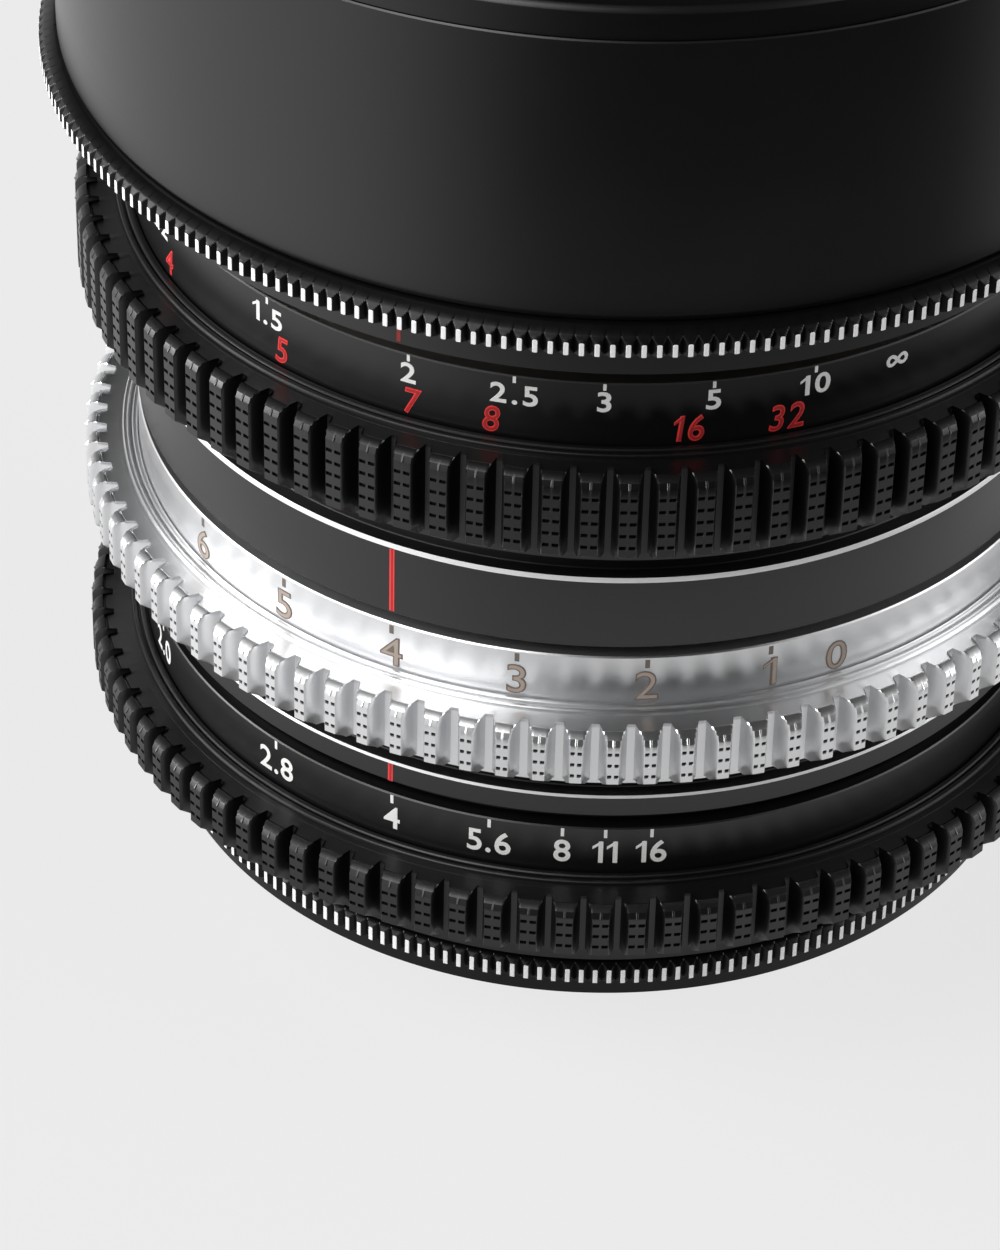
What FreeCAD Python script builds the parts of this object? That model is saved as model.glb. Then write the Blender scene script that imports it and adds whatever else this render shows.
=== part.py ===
"""A petzval lens with geared focus, bokeh and aperture rings, as an assembly of separate pieces.

The optical axis is +Z, the front of the lens is up, and the origin is the centre of the mount flange's seat.
The index lines face -Y. An azimuth is an angle from -Y towards +X, seen from the front.
Lengths are in millimetres and angles in degrees.
"""
import FreeCAD
import Part
import math
import os
import re
import Sketcher

doc = FreeCAD.newDocument("petzval_lens")
sheet = doc.addObject("Spreadsheet::Sheet", "Sizes")

# Driving dimensions
SIZES = {
    # clearances
    "running_gap": 0.05,          # radial and axial gap of every turning or sliding fit
    "washer_thickness": 0.15,
    "washer_width": 1.6,
    "ring_gap": 0.17,             # gap between a control ring's front face and the band in front of it
    # bayonet mount, for a 46.1 throat and an 18 register
    "flange_radius": 30.5,
    "flange_thickness": 2.0,
    "spigot_radius": 21.5,
    "spigot_bore": 20.5,
    "spigot_length": 4.2,
    "seat_relief_radius": 23.3,   # turned relief round the spigot's root, wider than the claws
    "seat_relief_depth": 0.3,
    "claw_radius": 22.95,
    "claw_drop": 1.6,             # free space between the flange's seat and the claws
    "claw_thickness": 1.2,
    "claw_angle": 56.0,
    "claw_count": 3,
    "claw_turn": 20.0,
    "flange_screw_circle": 28.3,
    "flange_screw_radius": 0.8,
    "flange_screw_head": 1.6,
    "flange_screw_depth": 0.9,
    "flange_screw_turn": 45.0,
    "flange_screw_count": 4,
    "lock_hole_radius": 1.3,
    "lock_hole_circle": 27.0,
    "lock_hole_turn": 190.0,
    "lock_hole_depth": 1.2,
    "index_bead_radius": 0.8,
    "index_bead_depth": 1.2,
    "index_bead_proud": 0.3,
    "index_bead_turn": 302.0,
    "rear_opening": 15.5,         # radius of the rear light baffle's opening
    "baffle_wall": 0.8,
    "baffle_depth": 3.8,          # how far the baffle's face lies behind the seat
    "baffle_skirt": 1.5,          # how far its skirt reaches in front of the seat
    # fixed barrel
    "tube_radius": 31.5,
    "tube_wall": 1.6,
    "housing_bore": 27.2,
    "housing_plate": 4.0,
    "housing_radius": 33.2,
    "rear_height": 8.0,
    "rear_knurl_radius": 33.63,
    "rear_knurl_height": 3.3,
    "rear_knurl_slope": 0.5,
    "rear_knurl_count": 210,
    "rear_knurl_phase": 0.964,
    "rear_lip_radius": 33.2,
    "rear_lip_height": 1.3,
    "rear_lip_slope": 0.15,
    "knurl_seat": 31.0,           # radius on which the rear knurled ring sits
    "knurl_flange": 0.65,         # inward flange of that ring, clamped by the mount
    "knurl_lip_bore": 29.45,
    "recess_radius": 33.2,        # black recess behind each fixed band
    "rear_band_radius": 35.25,
    "rear_band_height": 3.6,
    "rear_band_recess": 1.77,
    "rear_band_edge": 0.2,
    "barrel_radius": 35.7,
    "barrel_height": 7.63,
    "barrel_recess": 1.63,
    "barrel_edge": 0.35,
    "band_screw_radius": 0.8,
    "band_screw_turn": 23.2,
    "band_screw_depth": 0.9,      # how far the screws reach into the tube
    # geared rims, 0.8 module
    "gear_radius": 38.4,
    "gear_root": 36.8,
    "gear_count": 94,
    "gear_land": 0.88,            # width of a land at the outer radius
    "gear_floor": 0.52,           # width of a valley's floor
    "gear_face": 37.6,            # radius where the front face turns into the sloped land end
    "gear_slope": 0.62,
    "gear_back_edge": 0.4,
    "gear_skirt": 0.5,            # how far the teeth reach behind the rim's back
    "gear_skirt_slope": 1.1,      # width of the slope behind the lands
    "gear_skirt_depth": 0.5,      # distance of the skirt's inner edge from the valleys' floors
    "gear_skirt_step": 0.3,
    "bead_width": 0.55,
    "bead_rise": 0.3,
    "bead_groove": 0.1,
    # aperture ring
    "aperture_band_radius": 34.2,
    "aperture_height": 8.43,
    "aperture_scale": 4.28,       # from the front face back to the gear's ledge
    "aperture_phase": 2.125,
    # bokeh control ring
    "bokeh_band_radius": 34.4,
    "bokeh_height": 11.6,
    "bokeh_scale": 4.15,
    "bokeh_gear_width": 4.25,
    "bokeh_phase": 2.715,
    # focus ring
    "focus_band_radius": 34.4,
    "focus_height": 14.73,
    "focus_scale": 5.03,
    "focus_gear_width": 6.7,
    "focus_phase": 3.215,
    "hub_radius": 34.0,           # the rings' hubs behind their gears
    "focus_bearing": 6.2,         # length of the focus ring's bearing on the tube
    "retainer_radius": 32.6,
    "retainer_thickness": 1.3,
    "nut_radius": 33.0,
    "nut_length": 6.3,
    "nut_inset": 0.53,            # the nut's front face lies behind the focus ring's
    # moving front unit
    "thread_radius": 29.0,        # running surface of the focusing thread
    "carrier_bore": 27.6,
    "carrier_rear_bore": 26.9,
    "carrier_tail": 20.9,         # length behind the carrier's flange
    "carrier_shoulder": 10.5,     # from the carrier's flange back to the shoulder inside
    "carrier_flange_radius": 36.4,
    "carrier_flange": 1.4,
    "front_clearance": 2.47,      # from the focus ring to the carrier's flange at rest
    "slot_spare": 0.4,            # room past the keys at the end of their slots
    "infinity_travel": 1.63,      # how far the front unit draws back from rest to focus at infinity
    "key_width": 3.0,
    "key_length": 3.8,
    "key_depth": 0.9,              # how far a key reaches into the carrier
    "key_seat": 1.0,              # how far it is let into the tube
    "key_inset": 0.3,             # from the tube's front end back to the key
    "key_screw_radius": 0.7,
    "key_screw_inset": 0.8,       # from the key's inner face to the screw's end
    "front_bore": 31.0,
    "index_ring_radius": 36.4,
    "index_ring_height": 1.6,
    "front_knurl_radius": 40.5,
    "front_knurl_height": 2.9,
    "front_knurl_foot": 38.7,     # radius of the knurled ring's rear face
    "front_knurl_back": 1.09,     # height of the slope behind the lands
    "front_knurl_land": 0.93,
    "front_knurl_top": 0.5,       # radial width of the slope in front of the lands
    "front_knurl_count": 254,
    "front_knurl_phase": -0.14,
    "knurl_depth": 0.36,
    "knurl_share": 0.33,          # share of a knurl's pitch that stays a bright land
    "front_screw_circle": 33.5,
    "front_screw_count": 6,
    "front_screw_radius": 0.8,
    "front_screw_head": 1.5,
    "front_screw_depth": 1.1,
    "front_screw_tip": 0.3,       # metal left under the screws' tips
    "drum_radius": 39.25,
    "drum_wall": 1.7,
    "drum_floor": 1.9,
    "drum_height": 20.9,
    "drum_neck_radius": 38.5,
    "drum_neck_height": 0.6,
    "drum_round": 0.9,
    "drum_edge": 0.25,            # radial part of the round below its middle corner
    "filter_thread_radius": 33.1,
    "filter_rim_height": 2.3,
    "filter_rim_radius": 39.1,
    "filter_spigot": 2.0,
    "filter_chamfer": 0.4,
    "hood_bore": 33.0,
    "hood_end": 20.6,
    "hood_steps": 9,
    "hood_rim": 1.0,
    "hood_clearance": 0.2,
    # optics
    "front_glass_radius": 19.5,
    "front_clear_radius": 18.3,
    "front_curve": 44.0,
    "cement_curve": 52.0,
    "crown_thickness": 10.0,
    "flint_thickness": 3.0,
    "front_cell_wall": 2.05,
    "front_cell_length": 21.4,
    "front_seat_height": 7.6,     # from the front cell's foot to the flint's seat
    "cell_foot": 1.6,
    "clamp_thickness": 1.8,
    "clamp_bore": 22.2,
    "front_retainer": 3.3,
    "tube_bore": 20.1,            # the optical tube's bore
    "tube_outer": 21.6,
    "tube_step_radius": 23.2,
    "tube_length": 43.3,
    "tube_flange": 1.4,
    "stop_opening": 14.0,
    "rear_cell_length": 12.0,
    "rear_cell_lip": 1.4,
    "rear_cell_inset": 0.4,       # gap to the bokeh sleeve's end, inside the tube
    "rear_ledge": 3.2,
    "rear_glass_radius": 17.0,
    "rear_clear_radius": 16.0,
    "rear_curve": 48.0,
    "rear_inner_curve": 60.0,
    "rear_crown_thickness": 6.6,
    "rear_flint_thickness": 2.4,
    "rear_air_gap": 1.4,
    "rear_retainer": 1.5,
    # bokeh control group
    "sleeve_wall": 1.55,
    "sleeve_length": 19.5,
    "sleeve_retainer": 1.65,
    "sleeve_rib_height": 1.7,
    "sleeve_rib_foot": 1.5,
    "sleeve_rib_width": 2.0,
    "cell_length": 10.0,
    "cell_offset": 2.5,           # from the sleeve's front end back to the bokeh cell
    "cell_bore": 17.0,
    "cell_clear": 16.0,
    "cell_ledge": 2.0,
    "element_thickness": 4.0,
    "element_curve": 55.0,
    "cell_retainer": 1.5,
    "cam_pin_radius": 1.0,
    "cam_pin_root": 0.6,          # how far a pin is let in from the cell's bore
    "cam_pin_inset": 0.3,         # from the sleeve's outside to the pin's end
    "cam_pin_count": 3,
    "cam_turn": 30.0,
    "bokeh_turn": 45.75,          # turn to each side of the middle mark
    "bokeh_travel": 3.0,          # travel of the cell to each side
    "tongue_width": 3.0,
    "tongue_height": 3.0,
    "tongue_offset": 4.6,         # from the bokeh ring's rear face to the tongue
    "tongue_turn": 90.0,
    "tongue_reach": 23.6,
    "channel_floor": 23.3,
    "window_margin": 0.3,
    "socket_depth": 1.5,          # depth of the tongue's and the fork's seats in their rings
    # iris
    "blade_count": 8,
    "blade_turn": 0.0,            # turn of the first blade's pivot
    "blade_thickness": 0.1,
    "blade_pitch": 0.18,
    "blade_width": 7.3,
    "blade_tail": 105.0,
    "blade_boss": 1.35,
    "blade_arm": 2.4,
    "blade_clear": 0.15,
    "pin_gap": 0.05,
    "blade_pin": 0.45,
    "blade_lever": 8.0,
    "drive_radius": 20.85,        # radius of the drive pins with the iris open
    "pivot_radius": 21.2,
    "stop_radius": 12.6,          # radius of the iris when open
    "blade_ratio": 0.3337,        # a blade's turn for one turn of the cam ring
    "open_turn": 60.6,            # turn of the aperture ring from rest to fully open
    "close_turn": 31.7,           # turn from rest to the smallest stop
    "cam_thickness": 0.95,
    "cam_radius": 26.45,
    "iris_height": 3.5,
    "iris_plate": 0.8,
    "iris_spacer": 1.8,
    "bar_width": 3.0,
    "bar_inner": 25.3,
    "bar_outer": 26.4,
    "bar_length": 44.85,
    "fork_width": 7.0,
    "fork_height": 2.5,
    "fork_offset": 2.3,           # from the aperture ring's rear face to the fork
    "fork_turn": 260.0,
    "fork_reach": 24.9,
    "turn_margin": 1.5,           # spare turn at each end of the slots, in degrees
    "pin_end": 0.1,               # gap at the end of a short pin or screw
    "overrun": 1.0,               # how far a cutting shape runs past what it cuts
}
for row, (name, size) in enumerate(SIZES.items(), start=1):
    sheet.set("A%d" % row, name)
    sheet.set("B%d" % row, str(size))
    sheet.setAlias("B%d" % row, name)
doc.recompute()

UP = FreeCAD.Vector(0, 0, 1)


def bound(text):
    """An expression in the names of the sizes, with each name pointing at its cell."""
    return re.sub(r"[a-z_]+", lambda word: "Sizes." + word[0] if word[0] in SIZES else word[0], text)


def number(text):
    """The value of such an expression."""
    return float(sheet.evalExpression(bound(text)))


# Heights of the stack, from the mount flange's seat to the front
HOUSING_TOP = "(flange_thickness + rear_height)"
APERTURE_BOTTOM = f"({HOUSING_TOP} + washer_thickness + running_gap)"
APERTURE_TOP = f"({APERTURE_BOTTOM} + aperture_height)"
BAND_BOTTOM = f"({APERTURE_TOP} + ring_gap)"
BAND_TOP = f"({BAND_BOTTOM} + rear_band_height)"
BOKEH_BOTTOM = f"({BAND_TOP} + washer_thickness + running_gap)"
BOKEH_TOP = f"({BOKEH_BOTTOM} + bokeh_height)"
BARREL_BOTTOM = f"({BOKEH_TOP} + ring_gap)"
BARREL_TOP = f"({BARREL_BOTTOM} + barrel_height)"
FOCUS_BOTTOM = f"({BARREL_TOP} + washer_thickness + running_gap)"
FOCUS_TOP = f"({FOCUS_BOTTOM} + focus_height)"
SHOULDER = f"({FOCUS_BOTTOM} + focus_bearing)"
TUBE_TOP = f"({SHOULDER} + running_gap)"
NUT_TOP = f"({FOCUS_TOP} - nut_inset)"
NUT_BOTTOM = f"({NUT_TOP} - nut_length)"
CARRIER_BACK = f"({FOCUS_TOP} + front_clearance)"
CARRIER_TOP = f"({CARRIER_BACK} + carrier_flange)"
INDEX_TOP = f"({CARRIER_TOP} + index_ring_height)"
KNURL_TOP = f"({INDEX_TOP} + front_knurl_height)"
DRUM_TOP = f"({KNURL_TOP} + drum_height)"
RIM_TOP = f"({DRUM_TOP} + filter_rim_height)"
HOOD_TOP = f"({DRUM_TOP} - filter_spigot)"

# Heights inside the moving unit
UNIT_SEAT = f"({CARRIER_BACK} - carrier_shoulder)"
STOP_FLOOR = f"({UNIT_SEAT} + tube_flange)"
CAM_BOTTOM = f"({STOP_FLOOR} + running_gap)"
CAM_TOP = f"({CAM_BOTTOM} + cam_thickness)"
IRIS_TOP = f"({STOP_FLOOR} + iris_height)"
PIVOT_PLATE = f"({IRIS_TOP} - iris_plate)"
CELL_FOOT = f"({IRIS_TOP} + iris_spacer)"
CELL_TOP = f"({CELL_FOOT} + front_cell_length)"
FLINT_SEAT = f"({CELL_FOOT} + front_seat_height)"
CEMENT = f"({FLINT_SEAT} + flint_thickness)"
FRONT_VERTEX = f"({CEMENT} + crown_thickness)"
HOOD_FOOT = f"({CELL_TOP} + hood_clearance)"
TUBE_END = f"({STOP_FLOOR} - tube_length)"
SLEEVE_BOTTOM = f"({TUBE_END} + rear_cell_length)"
SLEEVE_TOP = f"({SLEEVE_BOTTOM} + sleeve_length)"
TUBE_STEP = f"({SLEEVE_TOP} + running_gap)"
ELEMENT_CELL_TOP = f"({SLEEVE_TOP} - cell_offset)"
ELEMENT_CELL_BOTTOM = f"({ELEMENT_CELL_TOP} - cell_length)"
ELEMENT_SEAT = f"({ELEMENT_CELL_BOTTOM} + cell_ledge)"
ELEMENT_VERTEX = f"({ELEMENT_SEAT} + element_thickness)"
CAM_PIN_HEIGHT = f"({ELEMENT_CELL_BOTTOM} + cell_length / 2)"
REAR_CELL_BACK = f"({TUBE_END} - rear_cell_lip)"
REAR_SEAT = f"({REAR_CELL_BACK} + rear_ledge)"


def sag(curve, radius):
    """How far a sphere of radius `curve` drops from its vertex at the distance `radius` from the axis."""
    return f"({curve} - sqrt({curve}^2 - ({radius})^2))"


REAR_VERTEX = f"({REAR_SEAT} - {sag('rear_curve', 'rear_clear_radius')})"
REAR_CROWN_FRONT = f"({REAR_VERTEX} + rear_crown_thickness)"
REAR_FLINT_BACK = f"({REAR_CROWN_FRONT} + rear_air_gap)"
REAR_FLINT_FRONT = f"({REAR_FLINT_BACK} + rear_flint_thickness)"

nodes = []


def node(thing):
    """Keep a finished piece: its label becomes its file's name."""
    nodes.append(thing)
    return thing


def bind(thing, **sizes):
    """Bind properties of an object to expressions in the sizes."""
    for name, text in sizes.items():
        thing.setExpression(name, bound(text))


def place(thing, x="0", y="0", z="0", turn="0"):
    """Bind an object's place and its turn about the optical axis."""
    thing.Placement = FreeCAD.Placement(FreeCAD.Vector(), FreeCAD.Rotation(UP, 1))
    for path, text in (("Base.x", x), ("Base.y", y), ("Base.z", z), ("Rotation.Angle", f"({turn}) * 1deg")):
        thing.setExpression("Placement." + path, bound(text))


def origin_plane(body, role):
    return next(feature for feature in body.Origin.OriginFeatures if feature.Role == role)


def outline_sketch(body, outline, axis=None):
    """A closed outline in the body's XZ plane, each corner's radius and height bound to the sizes."""
    sketch = body.newObject("Sketcher::SketchObject", body.Name + "_outline")
    sketch.AttachmentSupport = [(origin_plane(body, "XZ_Plane"), "")]
    sketch.MapMode = "FlatFace"
    corners = [FreeCAD.Vector(number(radius), number(height), 0) for radius, height in outline]
    count = len(corners)
    sketch.addGeometry([Part.LineSegment(corners[i], corners[(i + 1) % count]) for i in range(count)])
    rules = [Sketcher.Constraint("Coincident", i, 2, (i + 1) % count, 1) for i in range(count)]
    places = [(i, 1, radius, height) for i, (radius, height) in enumerate(outline)]
    if axis:
        ends = [FreeCAD.Vector(number(radius), number(height), 0) for radius, height in axis]
        sketch.addGeometry(Part.LineSegment(*ends), True)
        places += [(count, end, radius, height) for end, (radius, height) in enumerate(axis, start=1)]
    for line, end, radius, height in places:
        rules.append(Sketcher.Constraint("DistanceX", -1, 1, line, end, number(radius)))
        rules.append(Sketcher.Constraint("DistanceY", -1, 1, line, end, number(height)))
    sketch.addConstraint(rules)
    for i, (line, end, radius, height) in enumerate(places):
        sketch.setExpression("Constraints[%d]" % (count + 2 * i), bound(radius))
        sketch.setExpression("Constraints[%d]" % (count + 2 * i + 1), bound(height))
    return sketch


def turned(label, outline, drop=None):
    """A piece turned on a lathe: a closed outline of (radius, height) revolved about the optical axis."""
    body = doc.addObject("PartDesign::Body", label)
    if drop:
        body.setExpression("Placement.Base.z", bound(f"-({drop})"))
    turning = body.newObject("PartDesign::Revolution", label + "_turning")
    turning.Profile = outline_sketch(body, outline)
    turning.ReferenceAxis = (turning.Profile[0], ["V_Axis"])
    turning.Angle = 360
    return body


def washer(label, inner, outer, bottom, height):
    top = f"{bottom} + {height}"
    return turned(label, [(inner, bottom), (outer, bottom), (outer, top), (inner, top)])


def fasteners(label, outline, axis, count, turn="0"):
    """Identical round fasteners: an outline revolved about its own axis, then repeated round the lens."""
    body = doc.addObject("PartDesign::Body", label)
    place(body, turn=turn)
    turning = body.newObject("PartDesign::Revolution", label + "_turning")
    turning.Profile = outline_sketch(body, outline, axis)
    turning.ReferenceAxis = (turning.Profile[0], ["Axis0"])
    turning.Angle = 360
    ring = body.newObject("PartDesign::PolarPattern", label + "_ring")
    ring.Originals = [turning]
    ring.Axis = (origin_plane(body, "Z_Axis"), [""])
    ring.Angle = 360
    ring.setExpression("Occurrences", bound(count))
    body.Tip = ring
    return body


def axial_screws(label, circle, seat, tip, head, shank, head_depth, count, turn="0"):
    """Screws along the axis whose flat heads lie at `seat` and whose shanks end at `tip`."""
    step = f"{seat} + ({head_depth})"
    outline = [(circle, seat), (f"{circle} + {head}", seat), (f"{circle} + {head}", step),
               (f"{circle} + {shank}", step), (f"{circle} + {shank}", tip), (circle, tip)]
    return fasteners(label, outline, [(circle, seat), (circle, tip)], count, turn)


def radial_pins(label, inner, outer, height, radius, count, turn="0"):
    """Round pins that point at the optical axis."""
    side = f"{height} + {radius}"
    outline = [(inner, height), (outer, height), (outer, side), (inner, side)]
    return fasteners(label, outline, [(inner, height), (outer, height)], count, turn)


def block(label, inner, outer, width, foot, height, turn="0"):
    """A bar along a radius, from `inner` to `outer`, centred on that radius and turned about the axis."""
    bar = doc.addObject("Part::Box", label)
    bind(bar, Length=f"{outer} - ({inner})", Width=width, Height=height)
    angle = f"(({turn}) * 1deg)"
    place(bar, f"({inner}) * cos({angle}) + ({width}) / 2 * sin({angle})",
          f"({inner}) * sin({angle}) - ({width}) / 2 * cos({angle})", foot, turn)
    return bar


def disc(label, radius, foot, height, start="0", span="360"):
    """A cylinder on the optical axis, or a sector of one from the angle `start` over the angle `span`."""
    cylinder = doc.addObject("Part::Cylinder", label)
    bind(cylinder, Radius=radius, Height=height, Angle=span)
    place(cylinder, z=foot, turn=start)
    return cylinder


def ball(label, radius, height):
    sphere = doc.addObject("Part::Sphere", label)
    bind(sphere, Radius=radius)
    place(sphere, z=height)
    return sphere


def joined(label, pieces):
    union = doc.addObject("Part::MultiFuse", label)
    union.Shapes = pieces
    return union


def cut(label, base, tools):
    """A piece less what passes through it or is let into it."""
    difference = doc.addObject("Part::Cut", label)
    difference.Base = base
    difference.Tool = tools[0] if len(tools) == 1 else joined(label + "_cuts", tools)
    return difference


def shared(label, base, tool):
    overlap = doc.addObject("Part::Common", label)
    overlap.Base = base
    overlap.Tool = tool
    return overlap


def group(label, pieces):
    """Separate solids of one kind that share a node."""
    compound = doc.addObject("Part::Compound", label)
    compound.Links = pieces
    return compound


def toothed_disc(label, count, tip, root, land, floor, phase, bottom, top):
    """A disc whose edge is cut into lands with straight flanks, to be cut to a ring's outline.

    The flanks run on a little past the lands, so that the ring's own outline shapes the lands.
    """
    count = round(number(count))
    tip, root, phase = number(tip), number(root), number(phase)
    pitch = 360 / count
    half_land = math.degrees(number(land) / 2 / tip)
    half_root = pitch / 2 - math.degrees(number(floor) / 2 / root)
    over = 0.1
    half_over = half_land - over * (half_root - half_land) / (tip - root)
    corners = [(-half_root, root), (-half_over, tip + over), (half_over, tip + over)]
    if number(floor) > 0:
        corners.append((half_root, root))
    points = []
    for tooth in range(count):
        for angle, radius in corners:
            turn = math.radians(phase - 90 + tooth * pitch + angle)
            points.append(FreeCAD.Vector(radius * math.cos(turn), radius * math.sin(turn), number(bottom)))
    face = Part.Face(Part.makePolygon(points + points[:1]))
    feature = doc.addObject("Part::Feature", label)
    feature.Shape = face.extrude(UP * (number(top) - number(bottom)))
    return feature


def control_ring(label, bore_corners, hub, bottom, top, band, scale, gear_width, beads, phase):
    """A control ring: hub, geared rim with sloped land ends, beads in the corner, and a scale band.

    bore_corners are the corners of the bore, from the front face down to the rear face.
    """
    ledge = f"({top} - {scale})"
    back = f"({ledge} - {gear_width})"
    outline = [(hub, bottom), (hub, back)] if hub else []
    skirt = f"({back} - gear_skirt)"
    outline += [("gear_root - gear_skirt_depth - gear_skirt_step", back),
                ("gear_root - gear_skirt_depth", skirt),
                ("gear_radius - gear_skirt_slope", skirt), ("gear_radius", f"{back} + gear_back_edge"),
                ("gear_radius", f"{ledge} - gear_slope"), ("gear_face", ledge)]
    for inner, outer in reversed(beads):
        outline += [(f"{band} + {outer}", ledge), (f"{band} + {outer}", f"{ledge} + bead_rise"),
                    (f"{band} + {inner}", f"{ledge} + bead_rise"), (f"{band} + {inner}", ledge)]
    outline += [(band, ledge), (band, top)] + bore_corners
    blank = turned(label + "_blank", outline)
    teeth = toothed_disc(label + "_teeth", "gear_count", "gear_radius", "gear_root", "gear_land",
                         "gear_floor", phase, bottom if hub else skirt, top)
    return shared(label, blank, teeth)


def knurled_ring(label, outline, count, tip, phase, bottom, top):
    """A ring with straight V knurling whose lands keep a share of the pitch."""
    blank = turned(label + "_blank", outline)
    land = f"({tip} * 2 * pi / {count} * knurl_share)"
    teeth = toothed_disc(label + "_teeth", count, tip, f"{tip} - knurl_depth", land, "0", phase,
                         bottom, top)
    return shared(label, blank, teeth)


def formed(label, glass, sphere, hollow):
    """A glass side ground to a sphere."""
    return cut(label, glass, [sphere]) if hollow else shared(label, glass, sphere)


def lens(label, radius, back, front, back_form=None, front_form=None):
    """A glass element between two vertex heights; a form is its curve's radius and 1 for a hollow side."""
    back_curve, back_hollow = back_form or (None, 0)
    front_curve, front_hollow = front_form or (None, 0)
    foot = f"({back} - {sag(back_curve, radius)})" if back_hollow else back
    rim = f"({front} + {sag(front_curve, radius)})" if front_hollow else front
    glass = disc(label + "_blank", radius, foot, f"{rim} - {foot}")
    if back_curve:
        centre = f"{back} - {back_curve}" if back_hollow else f"{back} + {back_curve}"
        sphere = ball(label + "_back_sphere", back_curve, centre)
        glass = formed(label + "_back", glass, sphere, back_hollow)
    if front_curve:
        centre = f"{front} + {front_curve}" if front_hollow else f"{front} - {front_curve}"
        sphere = ball(label + "_front_sphere", front_curve, centre)
        glass = formed(label + "_front", glass, sphere, front_hollow)
    glass.Label = label
    return glass


# Fixed barrel
TUBE_BORE = "(tube_radius - tube_wall)"
TUBE_FOOT = "(flange_thickness + housing_plate)"
TURN_SPARE = "(2 * turn_margin)"

band_set_screws = group("band_set_screws", [
    radial_pins("rear_band_screws", "tube_radius - band_screw_depth", "recess_radius - pin_end",
                f"{BAND_BOTTOM} + rear_band_recess / 2", "band_screw_radius", "2", "band_screw_turn"),
    radial_pins("barrel_screws", "tube_radius - band_screw_depth", "recess_radius - pin_end",
                f"{BARREL_BOTTOM} + barrel_recess / 2", "band_screw_radius", "2", "band_screw_turn")])
node(band_set_screws)

KEY_TOP = f"({TUBE_TOP} - key_inset)"
KEY_FOOT = f"({KEY_TOP} - key_length)"
KEY_INNER = "(thread_radius - key_depth)"
KEY_OUTER = f"({TUBE_BORE} + key_seat)"
keys = [block(f"guide_key_{side}", KEY_INNER, KEY_OUTER, "key_width", KEY_FOOT, "key_length",
              str(180 * side)) for side in range(2)]
guide_key_screws = radial_pins("guide_key_screws", f"{KEY_INNER} + key_screw_inset",
                               "tube_radius - pin_end",
                               f"{KEY_FOOT} + key_length / 2", "key_screw_radius", "2")
node(guide_key_screws)
guide_keys = node(cut("guide_keys", group("guide_key_bars", keys), [guide_key_screws]))


def window(label, foot, height, width, turn, back, ahead):
    """A window in the tube's wall for an arm that turns from `back` to `ahead` about its rest."""
    half = f"({width} / 2 / {TUBE_BORE} * 180 / pi + turn_margin)"
    return disc(label, "tube_radius + overrun", f"{foot} - window_margin",
                f"{height} + 2 * window_margin", f"{turn} - {back} - {half}",
                f"{back} + {ahead} + 2 * {half}")


FORK_FOOT = f"({APERTURE_BOTTOM} + fork_offset)"
TONGUE_FOOT = f"({BOKEH_BOTTOM} + tongue_offset)"
main_tube = node(cut("main_tube", washer("main_tube_blank", TUBE_BORE, "tube_radius", TUBE_FOOT,
                                         f"{TUBE_TOP} - {TUBE_FOOT}"), [
    window("aperture_window", FORK_FOOT, "fork_height", "fork_width", "fork_turn",
           "close_turn", "open_turn"),
    window("bokeh_window", TONGUE_FOOT, "tongue_height", "tongue_width", "tongue_turn",
           "bokeh_turn", "bokeh_turn"),
    band_set_screws, guide_key_screws] + keys))

SEAT_TOP = "(flange_thickness + rear_knurl_height)"
LIP_TOP = "(flange_thickness + knurl_flange)"
mount_screws = node(axial_screws("mount_screws", "flange_screw_circle", "0", f"{TUBE_FOOT} - overrun",
                                 "flange_screw_head", "flange_screw_radius", "flange_screw_depth",
                                 "flange_screw_count", "flange_screw_turn"))
rear_housing = node(cut("rear_housing", turned("rear_housing_blank", [
    ("housing_bore", "flange_thickness"), ("knurl_lip_bore - running_gap", "flange_thickness"),
    ("knurl_lip_bore - running_gap", LIP_TOP), ("knurl_seat", LIP_TOP), ("knurl_seat", SEAT_TOP),
    ("housing_radius", SEAT_TOP), ("housing_radius", HOUSING_TOP), ("tube_radius", HOUSING_TOP),
    ("tube_radius", TUBE_FOOT), ("housing_bore", TUBE_FOOT)]), [mount_screws]))

rear_knurled_ring = node(knurled_ring("rear_knurled_ring", [
    ("knurl_lip_bore", "flange_thickness"), ("rear_lip_radius", "flange_thickness"),
    ("rear_lip_radius", "flange_thickness + rear_lip_height"),
    ("rear_knurl_radius", "flange_thickness + rear_lip_height + rear_lip_slope"),
    ("rear_knurl_radius", f"{SEAT_TOP} - rear_knurl_slope"),
    ("rear_knurl_radius - rear_knurl_slope", SEAT_TOP), ("knurl_seat", SEAT_TOP), ("knurl_seat", LIP_TOP),
    ("knurl_lip_bore", LIP_TOP)], "rear_knurl_count", "rear_knurl_radius", "rear_knurl_phase",
    "flange_thickness", SEAT_TOP))

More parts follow.
